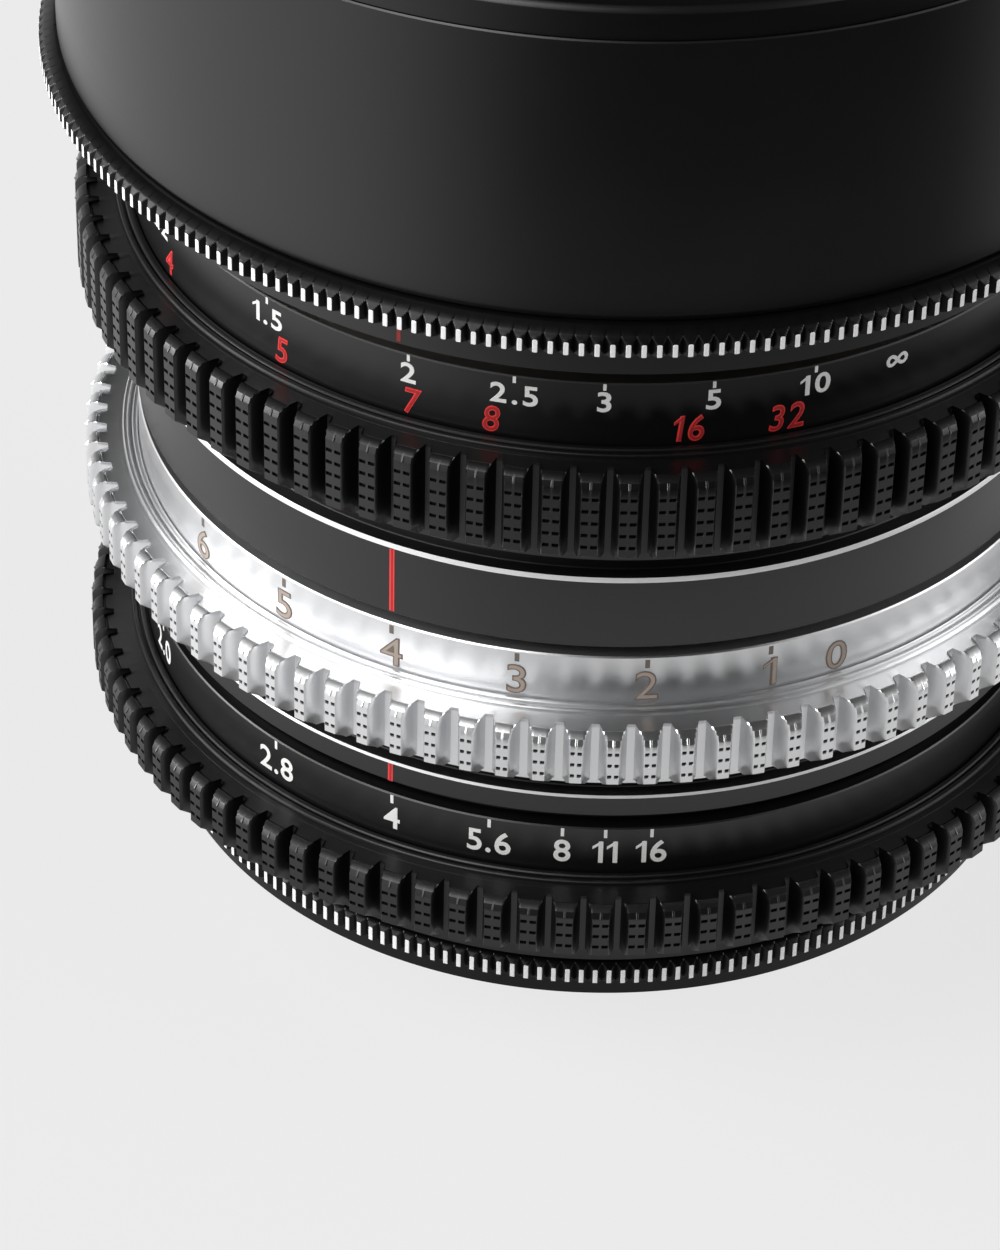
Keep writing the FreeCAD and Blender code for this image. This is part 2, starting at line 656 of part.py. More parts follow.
mount_index_bead = node(radial_pins("mount_index_bead", "flange_radius - index_bead_depth",
                                    "flange_radius + index_bead_proud", "flange_thickness / 2",
                                    "index_bead_radius", "1", "index_bead_turn"))
lock_hole = disc("lock_hole", "lock_hole_radius", "-overrun", "lock_hole_depth + overrun")
place(lock_hole, "lock_hole_circle * cos((lock_hole_turn) * 1deg)",
      "lock_hole_circle * sin((lock_hole_turn) * 1deg)", "-overrun")
claws = [disc(f"claw_{k}", "claw_radius", "-(claw_drop + claw_thickness)", "claw_thickness",
              f"claw_turn + {k} * 360 / claw_count", "claw_angle")
         for k in range(round(number("claw_count")))]
RELIEF_TOP = "(spigot_length + seat_relief_depth)"
flange_blank = turned("mount_flange_blank", [
    ("spigot_bore", "0"), ("spigot_radius", "0"), ("spigot_radius", RELIEF_TOP),
    ("seat_relief_radius", RELIEF_TOP), ("seat_relief_radius", "spigot_length"),
    ("flange_radius", "spigot_length"), ("flange_radius", "spigot_length + flange_thickness"),
    ("spigot_bore", "spigot_length + flange_thickness")], drop="spigot_length")
throat = disc("throat", "spigot_bore", "-spigot_length", "spigot_length + flange_thickness")
mount_flange = node(cut("mount_flange", joined("mount_flange_solid", [flange_blank] + claws),
                        [throat, lock_hole, mount_screws, mount_index_bead]))

rear_baffle = node(turned("rear_baffle", [
    ("rear_opening", "0"), ("spigot_bore", "0"), ("spigot_bore", "baffle_depth + baffle_skirt"),
    ("spigot_bore - baffle_wall", "baffle_depth + baffle_skirt"),
    ("spigot_bore - baffle_wall", "baffle_wall"), ("rear_opening", "baffle_wall")], drop="baffle_depth"))


def fixed_band(label, bottom, top, recess, radius, edge):
    """A band fixed on the tube: black recess behind, full radius in front, polished front edge."""
    return node(cut(label, turned(label + "_blank", [
        ("tube_radius", bottom), ("recess_radius", bottom), ("recess_radius", f"{bottom} + {recess}"),
        (radius, f"{bottom} + {recess}"), (radius, f"{top} - {edge}"), (f"{radius} - {edge}", top),
        ("tube_radius", top)]), [band_set_screws]))


rear_index_band = fixed_band("rear_index_band", BAND_BOTTOM, BAND_TOP, "rear_band_recess",
                             "rear_band_radius", "rear_band_edge")
mid_barrel = fixed_band("mid_barrel", BARREL_BOTTOM, BARREL_TOP, "barrel_recess", "barrel_radius",
                        "barrel_edge")

RING_BORE = "(tube_radius + running_gap)"
for label, seat in (("aperture_washer", HOUSING_TOP), ("bokeh_washer", BAND_TOP),
                    ("focus_washer", BARREL_TOP)):
    node(washer(label, RING_BORE, f"{RING_BORE} + washer_width", seat, "washer_thickness"))
focus_retaining_ring = node(washer("focus_retaining_ring", TUBE_BORE, "retainer_radius", TUBE_TOP,
                                   "retainer_thickness"))

# Control rings
TWO_BEADS = [("bead_groove", "bead_groove + bead_width"),
             ("2 * bead_groove + bead_width", "2 * bead_groove + 2 * bead_width")]
SOCKET = "(tube_radius + socket_depth)"

fork_bar = block("aperture_fork_bar", "fork_reach", SOCKET, "fork_width", FORK_FOOT, "fork_height",
                 "fork_turn")
fork_slot = block("aperture_fork_slot", "fork_reach - overrun", "bar_outer + 2 * running_gap",
                  "bar_width + 2 * running_gap", f"{FORK_FOOT} - overrun", "fork_height + 2 * overrun",
                  "fork_turn")
aperture_fork = node(cut("aperture_fork", fork_bar, [fork_slot]))
aperture_bore = [(RING_BORE, APERTURE_TOP), (RING_BORE, APERTURE_BOTTOM)]
aperture_solid = control_ring("aperture_solid", aperture_bore, None, APERTURE_BOTTOM, APERTURE_TOP,
                              "aperture_band_radius", "aperture_scale",
                              "(aperture_height - aperture_scale)", TWO_BEADS, "aperture_phase")
aperture_ring = node(cut("aperture_ring", aperture_solid, [fork_bar]))

bokeh_tongue = node(block("bokeh_tongue", "tongue_reach", SOCKET, "tongue_width", TONGUE_FOOT,
                          "tongue_height", "tongue_turn"))
bokeh_bore = [(RING_BORE, BOKEH_TOP), (RING_BORE, BOKEH_BOTTOM)]
bokeh_solid = control_ring("bokeh_solid", bokeh_bore, "hub_radius", BOKEH_BOTTOM, BOKEH_TOP,
                           "bokeh_band_radius", "bokeh_scale", "bokeh_gear_width",
                           [("bead_groove", "2 * bead_groove + 2 * bead_width")], "bokeh_phase")
bokeh_ring = node(cut("bokeh_ring", bokeh_solid, [bokeh_tongue]))

focus_bore = [("nut_radius", FOCUS_TOP), ("nut_radius", NUT_BOTTOM),
              ("retainer_radius + running_gap", NUT_BOTTOM), ("retainer_radius + running_gap", SHOULDER),
              (RING_BORE, SHOULDER), (RING_BORE, FOCUS_BOTTOM)]
focus_ring = node(control_ring("focus_ring", focus_bore, "hub_radius", FOCUS_BOTTOM, FOCUS_TOP,
                               "focus_band_radius", "focus_scale", "focus_gear_width", TWO_BEADS,
                               "focus_phase"))
focus_nut = node(washer("focus_nut", "thread_radius + running_gap", "nut_radius", NUT_BOTTOM, "nut_length"))

# Front unit: carrier and shells
TAIL_END = f"({CARRIER_BACK} - carrier_tail)"
SLOT_TOP = f"({KEY_TOP} + infinity_travel + slot_spare)"
carrier_blank = turned("helicoid_carrier_blank", [
    ("carrier_rear_bore", TAIL_END), ("thread_radius", TAIL_END), ("thread_radius", CARRIER_BACK),
    ("carrier_flange_radius", CARRIER_BACK), ("carrier_flange_radius", CARRIER_TOP),
    ("carrier_bore", CARRIER_TOP), ("carrier_bore", UNIT_SEAT), ("carrier_rear_bore", UNIT_SEAT)])
key_slots = [block(f"key_slot_{side}", f"{KEY_INNER} - running_gap", "thread_radius + overrun",
                   "key_width + 2 * running_gap", f"{TAIL_END} - overrun",
                   f"{SLOT_TOP} - {TAIL_END} + overrun", str(180 * side)) for side in range(2)]
DRUM_FLOOR = f"({KNURL_TOP} + drum_floor)"
front_drum_screws = node(axial_screws("front_drum_screws", "front_screw_circle", DRUM_FLOOR,
                                      f"{CARRIER_BACK} + front_screw_tip", "front_screw_head",
                                      "front_screw_radius", "-front_screw_depth", "front_screw_count"))
helicoid_carrier = node(cut("helicoid_carrier", carrier_blank, key_slots + [front_drum_screws]))
index_blank = washer("front_index_ring_blank", "front_bore", "index_ring_radius", CARRIER_TOP,
                     "index_ring_height")
front_index_ring = node(cut("front_index_ring", index_blank, [front_drum_screws]))
front_knurled_solid = knurled_ring("front_knurled_solid", [
    ("front_bore", INDEX_TOP), ("front_knurl_foot", INDEX_TOP),
    ("front_knurl_radius", f"{INDEX_TOP} + front_knurl_back"),
    ("front_knurl_radius", f"{INDEX_TOP} + front_knurl_back + front_knurl_land"),
    ("front_knurl_radius - front_knurl_top", KNURL_TOP), ("front_bore", KNURL_TOP)],
    "front_knurl_count", "front_knurl_radius", "front_knurl_phase", INDEX_TOP, KNURL_TOP)
front_knurled_ring = node(cut("front_knurled_ring", front_knurled_solid, [front_drum_screws]))
NECK_TOP = f"({KNURL_TOP} + drum_neck_height)"
front_drum = node(cut("front_drum", turned("front_drum_blank", [
    ("front_bore", KNURL_TOP), ("drum_neck_radius", KNURL_TOP), ("drum_neck_radius", NECK_TOP),
    ("drum_radius - drum_edge", f"{NECK_TOP} + drum_round / 3"), ("drum_radius", f"{NECK_TOP} + drum_round"),
    ("drum_radius", DRUM_TOP), ("drum_radius - drum_wall", DRUM_TOP),
    ("drum_radius - drum_wall", DRUM_FLOOR), ("front_bore", DRUM_FLOOR)]), [front_drum_screws]))
filter_ring = node(turned("filter_ring", [
    ("filter_thread_radius", HOOD_TOP), ("drum_radius - drum_wall", HOOD_TOP),
    ("drum_radius - drum_wall", DRUM_TOP), ("filter_rim_radius", DRUM_TOP),
    ("filter_rim_radius", f"{RIM_TOP} - filter_chamfer"), ("filter_rim_radius - filter_chamfer", RIM_TOP),
    ("filter_thread_radius + filter_chamfer", RIM_TOP),
    ("filter_thread_radius", f"{RIM_TOP} - filter_chamfer")]))

# Stepped light baffle behind the front thread
steps = round(number("hood_steps"))
TREAD = "((hood_bore - hood_end) / hood_steps)"
RISER = f"(({HOOD_TOP} - {HOOD_FOOT} - hood_rim) / hood_steps)"
hood = [("drum_radius - drum_wall", HOOD_TOP)]
for k in range(steps):
    hood.append((f"hood_bore - {k} * {TREAD}", f"{HOOD_TOP} - {k} * {RISER}"))
    hood.append((f"hood_bore - {k} * {TREAD}", f"{HOOD_TOP} - {k + 1} * {RISER}"))
hood += [("hood_end", f"{HOOD_TOP} - hood_steps * {RISER}"), ("hood_end", HOOD_FOOT),
         ("hood_bore + hood_rim", f"{HOOD_TOP} - hood_rim"),
         ("drum_radius - drum_wall", f"{HOOD_TOP} - hood_rim")]
front_baffle = node(turned("front_baffle", hood))

# Front doublet in its cell
CELL_OUTER = "(front_glass_radius + front_cell_wall)"
front_cell = node(turned("front_cell", [
    ("front_clear_radius", CELL_FOOT), ("carrier_bore", CELL_FOOT),
    ("carrier_bore", f"{CELL_FOOT} + cell_foot"), (CELL_OUTER, f"{CELL_FOOT} + cell_foot"),
    (CELL_OUTER, CELL_TOP), ("front_glass_radius", CELL_TOP),
    ("front_glass_radius", FLINT_SEAT), ("front_clear_radius", FLINT_SEAT)]))
front_flint = node(lens("front_flint", "front_glass_radius", FLINT_SEAT, CEMENT,
                        front_form=("cement_curve", 1)))
front_crown = node(lens("front_crown", "front_glass_radius", CEMENT, FRONT_VERTEX,
                        back_form=("cement_curve", 0), front_form=("front_curve", 0)))
front_retaining_ring = node(washer("front_retaining_ring", "front_clear_radius", "front_glass_radius",
                                   f"({FRONT_VERTEX} - {sag('front_curve', 'front_clear_radius')})",
                                   "front_retainer"))
unit_clamp_ring = node(washer("unit_clamp_ring", "clamp_bore", "carrier_bore", f"({CELL_FOOT} + cell_foot)",
                              "clamp_thickness"))
iris_spacer = node(washer("iris_spacer", "clamp_bore", "carrier_bore", IRIS_TOP, "iris_spacer"))

# Optical tube with the rear doublet
BAR_HALF = "(bar_width / 2 / bar_inner * 180 / pi)"
bar_outer_sector = disc("bar_window_outer", "bar_outer + 3 * running_gap", f"{UNIT_SEAT} - overrun",
                        "tube_flange + 2 * overrun", f"fork_turn - close_turn - turn_margin - {BAR_HALF}",
                        f"close_turn + open_turn + {TURN_SPARE} + 2 * {BAR_HALF}")
bar_window = cut("bar_window", bar_outer_sector, [
    disc("bar_window_inner", "bar_inner - 3 * running_gap", f"{UNIT_SEAT} - 2 * overrun",
         "tube_flange + 4 * overrun")])
SLOT_REACH = "(bokeh_travel + cam_pin_radius + 3 * running_gap)"
straight_slots = [block(f"straight_slot_{k}", "tube_bore - overrun", "tube_outer + overrun",
                        "2 * (cam_pin_radius + running_gap)", f"{CAM_PIN_HEIGHT} - {SLOT_REACH}",
                        f"2 * {SLOT_REACH}", f"cam_turn + {k} * 360 / cam_pin_count")
                  for k in range(round(number("cam_pin_count")))]
optical_tube = node(cut("optical_tube", turned("optical_tube_blank", [
    ("tube_bore", TUBE_END), ("tube_outer", TUBE_END), ("tube_outer", TUBE_STEP),
    ("tube_step_radius", TUBE_STEP), ("tube_step_radius", UNIT_SEAT), ("carrier_bore", UNIT_SEAT),
    ("carrier_bore", STOP_FLOOR), ("stop_opening", STOP_FLOOR), ("stop_opening", UNIT_SEAT),
    ("tube_bore", UNIT_SEAT)]),
    [bar_window] + straight_slots))
REAR_CELL_TOP = f"({SLEEVE_BOTTOM} - rear_cell_inset)"
rear_cell = node(turned("rear_cell", [
    ("rear_clear_radius", REAR_CELL_BACK), ("tube_outer", REAR_CELL_BACK), ("tube_outer", TUBE_END),
    ("tube_bore", TUBE_END), ("tube_bore", REAR_CELL_TOP), ("rear_glass_radius", REAR_CELL_TOP),
    ("rear_glass_radius", REAR_SEAT), ("rear_clear_radius", REAR_SEAT)]))
rear_crown = node(lens("rear_crown", "rear_glass_radius", REAR_VERTEX, REAR_CROWN_FRONT,
                       back_form=("rear_curve", 0), front_form=("rear_inner_curve", 0)))
rear_flint = node(lens("rear_flint", "rear_glass_radius", REAR_FLINT_BACK, REAR_FLINT_FRONT,
                       back_form=("rear_inner_curve", 1)))
SPACER_FOOT = f"({REAR_CROWN_FRONT} - {sag('rear_inner_curve', 'rear_clear_radius')})"
SPACER_TOP = f"({REAR_FLINT_BACK} - {sag('rear_inner_curve', 'rear_glass_radius')})"
rear_spacer = node(washer("rear_spacer", "rear_clear_radius", "rear_glass_radius", SPACER_FOOT,
                          f"{SPACER_TOP} - {SPACER_FOOT}"))
rear_retaining_ring = node(washer("rear_retaining_ring", "rear_clear_radius", "rear_glass_radius",
                                  REAR_FLINT_FRONT, "rear_retainer"))

# Bokeh control: cam sleeve on the optical tube, sliding cell inside it
CHANNEL = "(tongue_width + 2 * running_gap)"
RIB_FOOT = f"({SLEEVE_BOTTOM} + sleeve_rib_foot)"
SLEEVE_BORE = "(tube_outer + running_gap)"
SLEEVE_OUTER = f"({SLEEVE_BORE} + sleeve_wall)"
sleeve_blank = washer("bokeh_cam_sleeve_blank", SLEEVE_BORE, SLEEVE_OUTER, SLEEVE_BOTTOM, "sleeve_length")
ribs = block("sleeve_ribs", f"{SLEEVE_OUTER} - sleeve_wall / 2", f"{SLEEVE_OUTER} + sleeve_rib_height",
             f"({CHANNEL} + 2 * sleeve_rib_width)", RIB_FOOT, f"{SLEEVE_TOP} - {RIB_FOOT}", "tongue_turn")
channel = block("sleeve_channel", "channel_floor", f"{SLEEVE_OUTER} + sleeve_rib_height + overrun",
                CHANNEL, f"{RIB_FOOT} - overrun", f"{SLEEVE_TOP} - {RIB_FOOT} + 2 * overrun", "tongue_turn")


def cam_slot(label, turn):
    """A slot that climbs round the sleeve as the sleeve turns the other way past a pin that only slides."""
    reach = number("bokeh_turn + turn_margin") + math.degrees(number("cam_pin_radius") / number(SLEEVE_BORE))
    pitch = number("bokeh_travel / bokeh_turn") * 360
    rise = pitch * reach / 180
    slope = math.atan(pitch / (2 * math.pi * number(SLEEVE_BORE)))
    half = number("cam_pin_radius + running_gap") / math.cos(slope)
    inner, outer = number(f"{SLEEVE_BORE} - overrun / 2"), number(f"{SLEEVE_OUTER} + overrun / 2")
    middle = number(SLEEVE_BORE + " + sleeve_wall / 2")
    helix = Part.makeHelix(pitch, rise, middle, 0, True)
    section = Part.makePolygon([FreeCAD.Vector(radius, 0, height) for radius, height in (
        (inner, -half), (outer, -half), (outer, half), (inner, half), (inner, -half))])
    slot = helix.makePipeShell([section], True, True)
    feature = doc.addObject("Part::Feature", label)
    feature.Shape = slot
    feature.Placement = FreeCAD.Placement(FreeCAD.Vector(0, 0, number(CAM_PIN_HEIGHT) - rise / 2),
                                          FreeCAD.Rotation(UP, number(turn) + reach))
    return feature


cam_slots = [cam_slot(f"cam_slot_{k}", f"cam_turn + {k} * 360 / cam_pin_count")
             for k in range(round(number("cam_pin_count")))]
bokeh_cam_sleeve = node(cut("bokeh_cam_sleeve", joined("bokeh_cam_sleeve_solid", [sleeve_blank, ribs]),
                            [channel] + cam_slots))
cam_sleeve_retainer = node(washer("cam_sleeve_retainer", "tube_outer", "tube_step_radius",
                                  f"({SLEEVE_BOTTOM} - running_gap - sleeve_retainer)", "sleeve_retainer"))
SLIDE_RADIUS = "(tube_bore - running_gap)"
cam_pins = node(radial_pins("cam_pins", "cell_bore + cam_pin_root", f"{SLEEVE_OUTER} - cam_pin_inset",
                            CAM_PIN_HEIGHT, "cam_pin_radius", "cam_pin_count", "cam_turn"))
bokeh_cell = node(cut("bokeh_cell", turned("bokeh_cell_blank", [
    ("cell_clear", ELEMENT_CELL_BOTTOM), (SLIDE_RADIUS, ELEMENT_CELL_BOTTOM),
    (SLIDE_RADIUS, ELEMENT_CELL_TOP), ("cell_bore", ELEMENT_CELL_TOP), ("cell_bore", ELEMENT_SEAT),
    ("cell_clear", ELEMENT_SEAT)]), [cam_pins]))
bokeh_element = node(lens("bokeh_element", "cell_bore", ELEMENT_SEAT, ELEMENT_VERTEX,
                          front_form=("element_curve", 0)))
bokeh_retaining_ring = node(washer("bokeh_retaining_ring", "cell_clear", "cell_bore",
                                   f"({ELEMENT_VERTEX} - {sag('element_curve', 'cell_clear')})",
                                   "cell_retainer"))

# Iris: cam ring with spiral slots, eight blades on pivots in the housing's plate
lever_angle = math.acos(number("(drive_radius^2 - pivot_radius^2 - blade_lever^2)"
                               " / (2 * pivot_radius * blade_lever)"))
BLADES = round(number("blade_count"))
rest_closing = math.radians(number("open_turn * blade_ratio"))
full_closing = math.radians(number("(open_turn + close_turn) * blade_ratio"))


def pin_place(closing):
    """Where a blade's drive pin lies when the blade is closed by an angle, for a pivot on the X axis."""
    angle = lever_angle - closing
    return (number("pivot_radius") + number("blade_lever") * math.cos(angle),
            number("blade_lever") * math.sin(angle))


def turned_point(point, angle):
    x, y = point
    return (x * math.cos(angle) - y * math.sin(angle), x * math.sin(angle) + y * math.cos(angle))


SLOT_POINTS = 13
STEP = 1e-4                       # small turn of a blade that gives the slot's direction


def iris_slot(label, turn):
    """A spiral slot: the drive pin's path as seen from the cam ring, with a side at each running gap."""
    half = number("blade_pin + pin_gap")
    spare = math.radians(number("turn_margin * blade_ratio"))
    closings = [-spare + (full_closing + 2 * spare) * k / (SLOT_POINTS - 1) for k in range(SLOT_POINTS)]

    def path(closing):
        ring_turn = math.radians(number("open_turn")) - closing / number("blade_ratio")
        return turned_point(pin_place(closing), -ring_turn)

    sides = ([], [])
    for closing in closings:
        x, y = path(closing)
        ahead, behind = path(closing + STEP), path(closing - STEP)
        length = math.hypot(ahead[0] - behind[0], ahead[1] - behind[1])
        across = ((behind[1] - ahead[1]) / length, (ahead[0] - behind[0]) / length)
        for side, sign in zip(sides, (1, -1)):
            side.append(FreeCAD.Vector(x + sign * half * across[0], y + sign * half * across[1], 0))
    curves = []
    for side in sides:
        curve = Part.BSplineCurve()
        curve.interpolate(side)
        curves.append(curve.toShape())
    edges = [curves[0], Part.makeLine(sides[0][-1], sides[1][-1]), curves[1],
             Part.makeLine(sides[1][0], sides[0][0])]
    face = Part.Face(Part.Wire(Part.__sortEdges__(edges)))
    feature = doc.addObject("Part::Feature", label)
    feature.Shape = face.extrude(UP * number("cam_thickness + 2 * overrun"))
    foot = FreeCAD.Vector(0, 0, number(f"{CAM_BOTTOM} - overrun"))
    feature.Placement = FreeCAD.Placement(foot, FreeCAD.Rotation(UP, turn))
    return feature


def capsule(start, end, radius, bottom, height):
    """A flat bar with round ends."""
    first, last = FreeCAD.Vector(*start, bottom), FreeCAD.Vector(*end, bottom)
    along = (last - first).normalize()
    side = UP.cross(along) * radius
    corners = [first + side, first - side, last - side, last + side, first + side]
    bar = Part.Face(Part.makePolygon(corners)).extrude(UP * height)
    return bar.fuse([Part.makeCylinder(radius, height, first), Part.makeCylinder(radius, height, last)])


def iris_blade(label, turn, layer):
    """A crescent blade with a boss at its pivot, an arm to its drive pin, and a pin on each side."""
    thickness = number("blade_thickness")
    bottom = number(f"{CAM_TOP} + blade_clear") + layer * number("blade_pitch")
    pivot = (number("pivot_radius"), 0)
    drive = pin_place(0)
    inner, width = number("stop_radius"), number("blade_width")
    middle = inner + width / 2
    tail = math.radians(-number("blade_tail"))
    start = FreeCAD.Vector(0, 0, bottom)
    crescent = Part.makeCylinder(inner + width, thickness, start, UP, number("blade_tail"))
    crescent.rotate(FreeCAD.Vector(), UP, -number("blade_tail"))
    tip = FreeCAD.Vector(*turned_point((middle, 0), tail), bottom)
    head = FreeCAD.Vector(middle, 0, bottom)
    sheet_metal = crescent.fuse([Part.makeCylinder(width / 2, thickness, tip),
                                 Part.makeCylinder(width / 2, thickness, head)])
    sheet_metal = sheet_metal.cut(Part.makeCylinder(inner, thickness, start))
    arm = capsule(pivot, drive, number("blade_arm") / 2, bottom, thickness)
    root = capsule(pivot, (middle + width / 4, 0), number("blade_boss"), bottom, thickness)
    pin = number("blade_pin")
    pin_top = number(f"{IRIS_TOP} - pin_end")
    pivot_pin = Part.makeCylinder(pin, pin_top - bottom, FreeCAD.Vector(*pivot, bottom))
    pin_foot = number(f"{CAM_BOTTOM} + pin_end")
    drive_pin = Part.makeCylinder(pin, bottom + thickness - pin_foot, FreeCAD.Vector(*drive, pin_foot))
    feature = doc.addObject("Part::Feature", label)
    feature.Shape = sheet_metal.fuse([arm, root, pivot_pin, drive_pin]).removeSplitter()
    swing = FreeCAD.Rotation(UP, -math.degrees(rest_closing))
    closed = FreeCAD.Placement(FreeCAD.Vector(), swing, FreeCAD.Vector(*pivot, 0))
    feature.Placement = FreeCAD.Placement(FreeCAD.Vector(), FreeCAD.Rotation(UP, turn)) * closed
    return feature


blade_turns = [number("blade_turn") + k * 360 / BLADES for k in range(BLADES)]
iris_cam_ring = node(cut("iris_cam_ring", washer("iris_cam_ring_blank", "stop_opening", "cam_radius",
                                                 CAM_BOTTOM, "cam_thickness"),
                         [iris_slot(f"iris_slot_{k}", turn) for k, turn in enumerate(blade_turns)]))
iris_drive_bar = node(block("iris_drive_bar", "bar_inner", "bar_outer", "bar_width",
                            f"{CAM_BOTTOM} - bar_length", "bar_length", "fork_turn"))
for k, turn in enumerate(blade_turns):
    node(iris_blade(f"iris_blade_{k + 1}", turn, k))
HOLE_FOOT = f"({PIVOT_PLATE} - overrun)"
HOLE_TOP = f"({IRIS_TOP} + overrun)"
HOLE_SIDE = "(pivot_radius + blade_pin + pin_gap)"
pivot_holes = fasteners("pivot_holes", [("pivot_radius", HOLE_FOOT), (HOLE_SIDE, HOLE_FOOT),
                                        (HOLE_SIDE, HOLE_TOP), ("pivot_radius", HOLE_TOP)],
                        [("pivot_radius", HOLE_FOOT), ("pivot_radius", HOLE_TOP)], "blade_count",
                        "blade_turn")
iris_housing = node(cut("iris_housing", turned("iris_housing_blank", [
    ("cam_radius + running_gap", STOP_FLOOR), ("carrier_bore", STOP_FLOOR), ("carrier_bore", IRIS_TOP),
    ("stop_opening", IRIS_TOP), ("stop_opening", PIVOT_PLATE), ("cam_radius + running_gap", PIVOT_PLATE)]),
    [pivot_holes]))

doc.recompute()
faults = [thing.Label for thing in doc.Objects if {"Invalid", "Error"} & set(thing.State)]
faults += [thing.Label for thing in nodes if thing.Shape.isNull() or not thing.Shape.isValid()]
if faults:
    raise RuntimeError("these pieces failed: " + ", ".join(faults))

os.makedirs("parts", exist_ok=True)
for thing in nodes:
    thing.Shape.exportStep(f"parts/{thing.Label}.step")
print(len(nodes), "pieces written")
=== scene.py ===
"""A petzval lens with geared control rings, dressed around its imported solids.

The optical axis is Z, with the front of the lens up, and the index lines face -Y.
Outlines are pairs of (radius, height) in millimetres, and a third number in a corner is the width
of its broken edge. A piece's mesh is in metres.
An azimuth is an angle in degrees from -Y towards +X.
"""

import math

import bpy
import numpy as np
from bpy.props import FloatProperty, FloatVectorProperty, IntProperty, PointerProperty
from mathutils import Matrix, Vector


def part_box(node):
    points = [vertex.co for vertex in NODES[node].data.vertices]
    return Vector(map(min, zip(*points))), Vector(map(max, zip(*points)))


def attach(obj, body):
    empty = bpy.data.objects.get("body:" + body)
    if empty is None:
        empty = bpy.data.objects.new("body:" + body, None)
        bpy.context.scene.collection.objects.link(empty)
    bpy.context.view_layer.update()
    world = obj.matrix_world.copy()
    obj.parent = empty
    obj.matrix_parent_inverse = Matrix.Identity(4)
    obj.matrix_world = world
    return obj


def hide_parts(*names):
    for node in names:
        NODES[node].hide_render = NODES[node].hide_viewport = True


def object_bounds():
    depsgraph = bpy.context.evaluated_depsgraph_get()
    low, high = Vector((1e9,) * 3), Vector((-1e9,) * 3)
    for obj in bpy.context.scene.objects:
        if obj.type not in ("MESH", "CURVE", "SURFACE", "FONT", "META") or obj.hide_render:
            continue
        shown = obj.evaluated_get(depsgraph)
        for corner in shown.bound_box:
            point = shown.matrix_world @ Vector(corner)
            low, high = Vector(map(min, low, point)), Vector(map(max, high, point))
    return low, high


bl_info = {
    "name": "Geared petzval lens",
    "version": (1, 0, 0),
    "blender": (4, 5, 0),
    "location": "View3D > Sidebar > Lens",
    "description": "Dresses the solids of a petzval lens with machined, engraved and ground surfaces",
    "category": "Object",
}

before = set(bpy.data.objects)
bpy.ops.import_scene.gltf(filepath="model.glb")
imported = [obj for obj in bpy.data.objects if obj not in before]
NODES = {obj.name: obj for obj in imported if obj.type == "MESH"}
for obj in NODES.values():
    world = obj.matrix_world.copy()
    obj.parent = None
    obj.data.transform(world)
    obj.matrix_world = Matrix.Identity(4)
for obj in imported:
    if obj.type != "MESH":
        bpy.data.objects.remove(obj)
CAD_BOX = [list(corner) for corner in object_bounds()]
MM = 0.001

# Radii that neighbouring pieces share, in millimetres
INNER_WALL = 31.0
TUBE_SEAT = 31.5
RING_BORE = 31.55
NECK = 33.2
HUB = 34.0
BAND = 34.4
REAR_BAND = 34.2


def heights(node):
    """The lowest and highest height of a CAD node, in millimetres."""
    low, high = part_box(node)
    return low.z / MM, high.z / MM


def reach(node):
    """The largest distance of a CAD node from the optical axis, in millimetres."""
    points = np.empty(len(NODES[node].data.vertices) * 3, np.float32)
    NODES[node].data.vertices.foreach_get("co", points)
    points = points.reshape(-1, 3)
    return float(np.hypot(points[:, 0], points[:, 1]).max()) / MM


# Sizes and colours that a user would change


LENGTH = {"unit": "LENGTH", "precision": 5}
COLOUR = {"subtype": "COLOR", "min": 0, "max": 1}


class LensSizes(bpy.types.PropertyGroup):
    """Sizes of the turned and cut details, in metres."""

    tooth_count: IntProperty(name="Teeth", description="Teeth of each geared rim", default=94)
    gear_tip: FloatProperty(name="Gear radius", description="Radius of the lands", default=0.0384, **LENGTH)
    gear_root: FloatProperty(
        name="Root radius", description="Radius of the valley floors", default=0.0368, **LENGTH)
    gear_land: FloatProperty(
        name="Land width", description="Width of a land of the black rings", default=0.00122, **LENGTH)
    gear_floor: FloatProperty(
        name="Floor width", description="Width of a valley floor of the black rings", default=0.00042, **LENGTH)
    bright_land: FloatProperty(
        name="Bright land width", description="Width of a land of the bare ring", default=0.00088, **LENGTH)
    bright_floor: FloatProperty(
        name="Bright floor width", description="Width of a valley floor of the bare ring", default=0.00054,
        **LENGTH)
    pit_depth: FloatProperty(
        name="Pit depth", description="Depth of the pits in the lands", default=0.0002, **LENGTH)
    edge_break: FloatProperty(
        name="Edge break", description="Width of the broken edges of turned pieces", default=0.00007, **LENGTH)
    mark_relief: FloatProperty(
        name="Mark thickness", description="Thickness of the paint of the marks", default=0.00002, **LENGTH)
    thread_pitch: FloatProperty(
        name="Thread pitch", description="Pitch of the front thread", default=0.00075, **LENGTH)
    thread_depth: FloatProperty(
        name="Thread depth", description="Depth of the front thread", default=0.0004, **LENGTH)


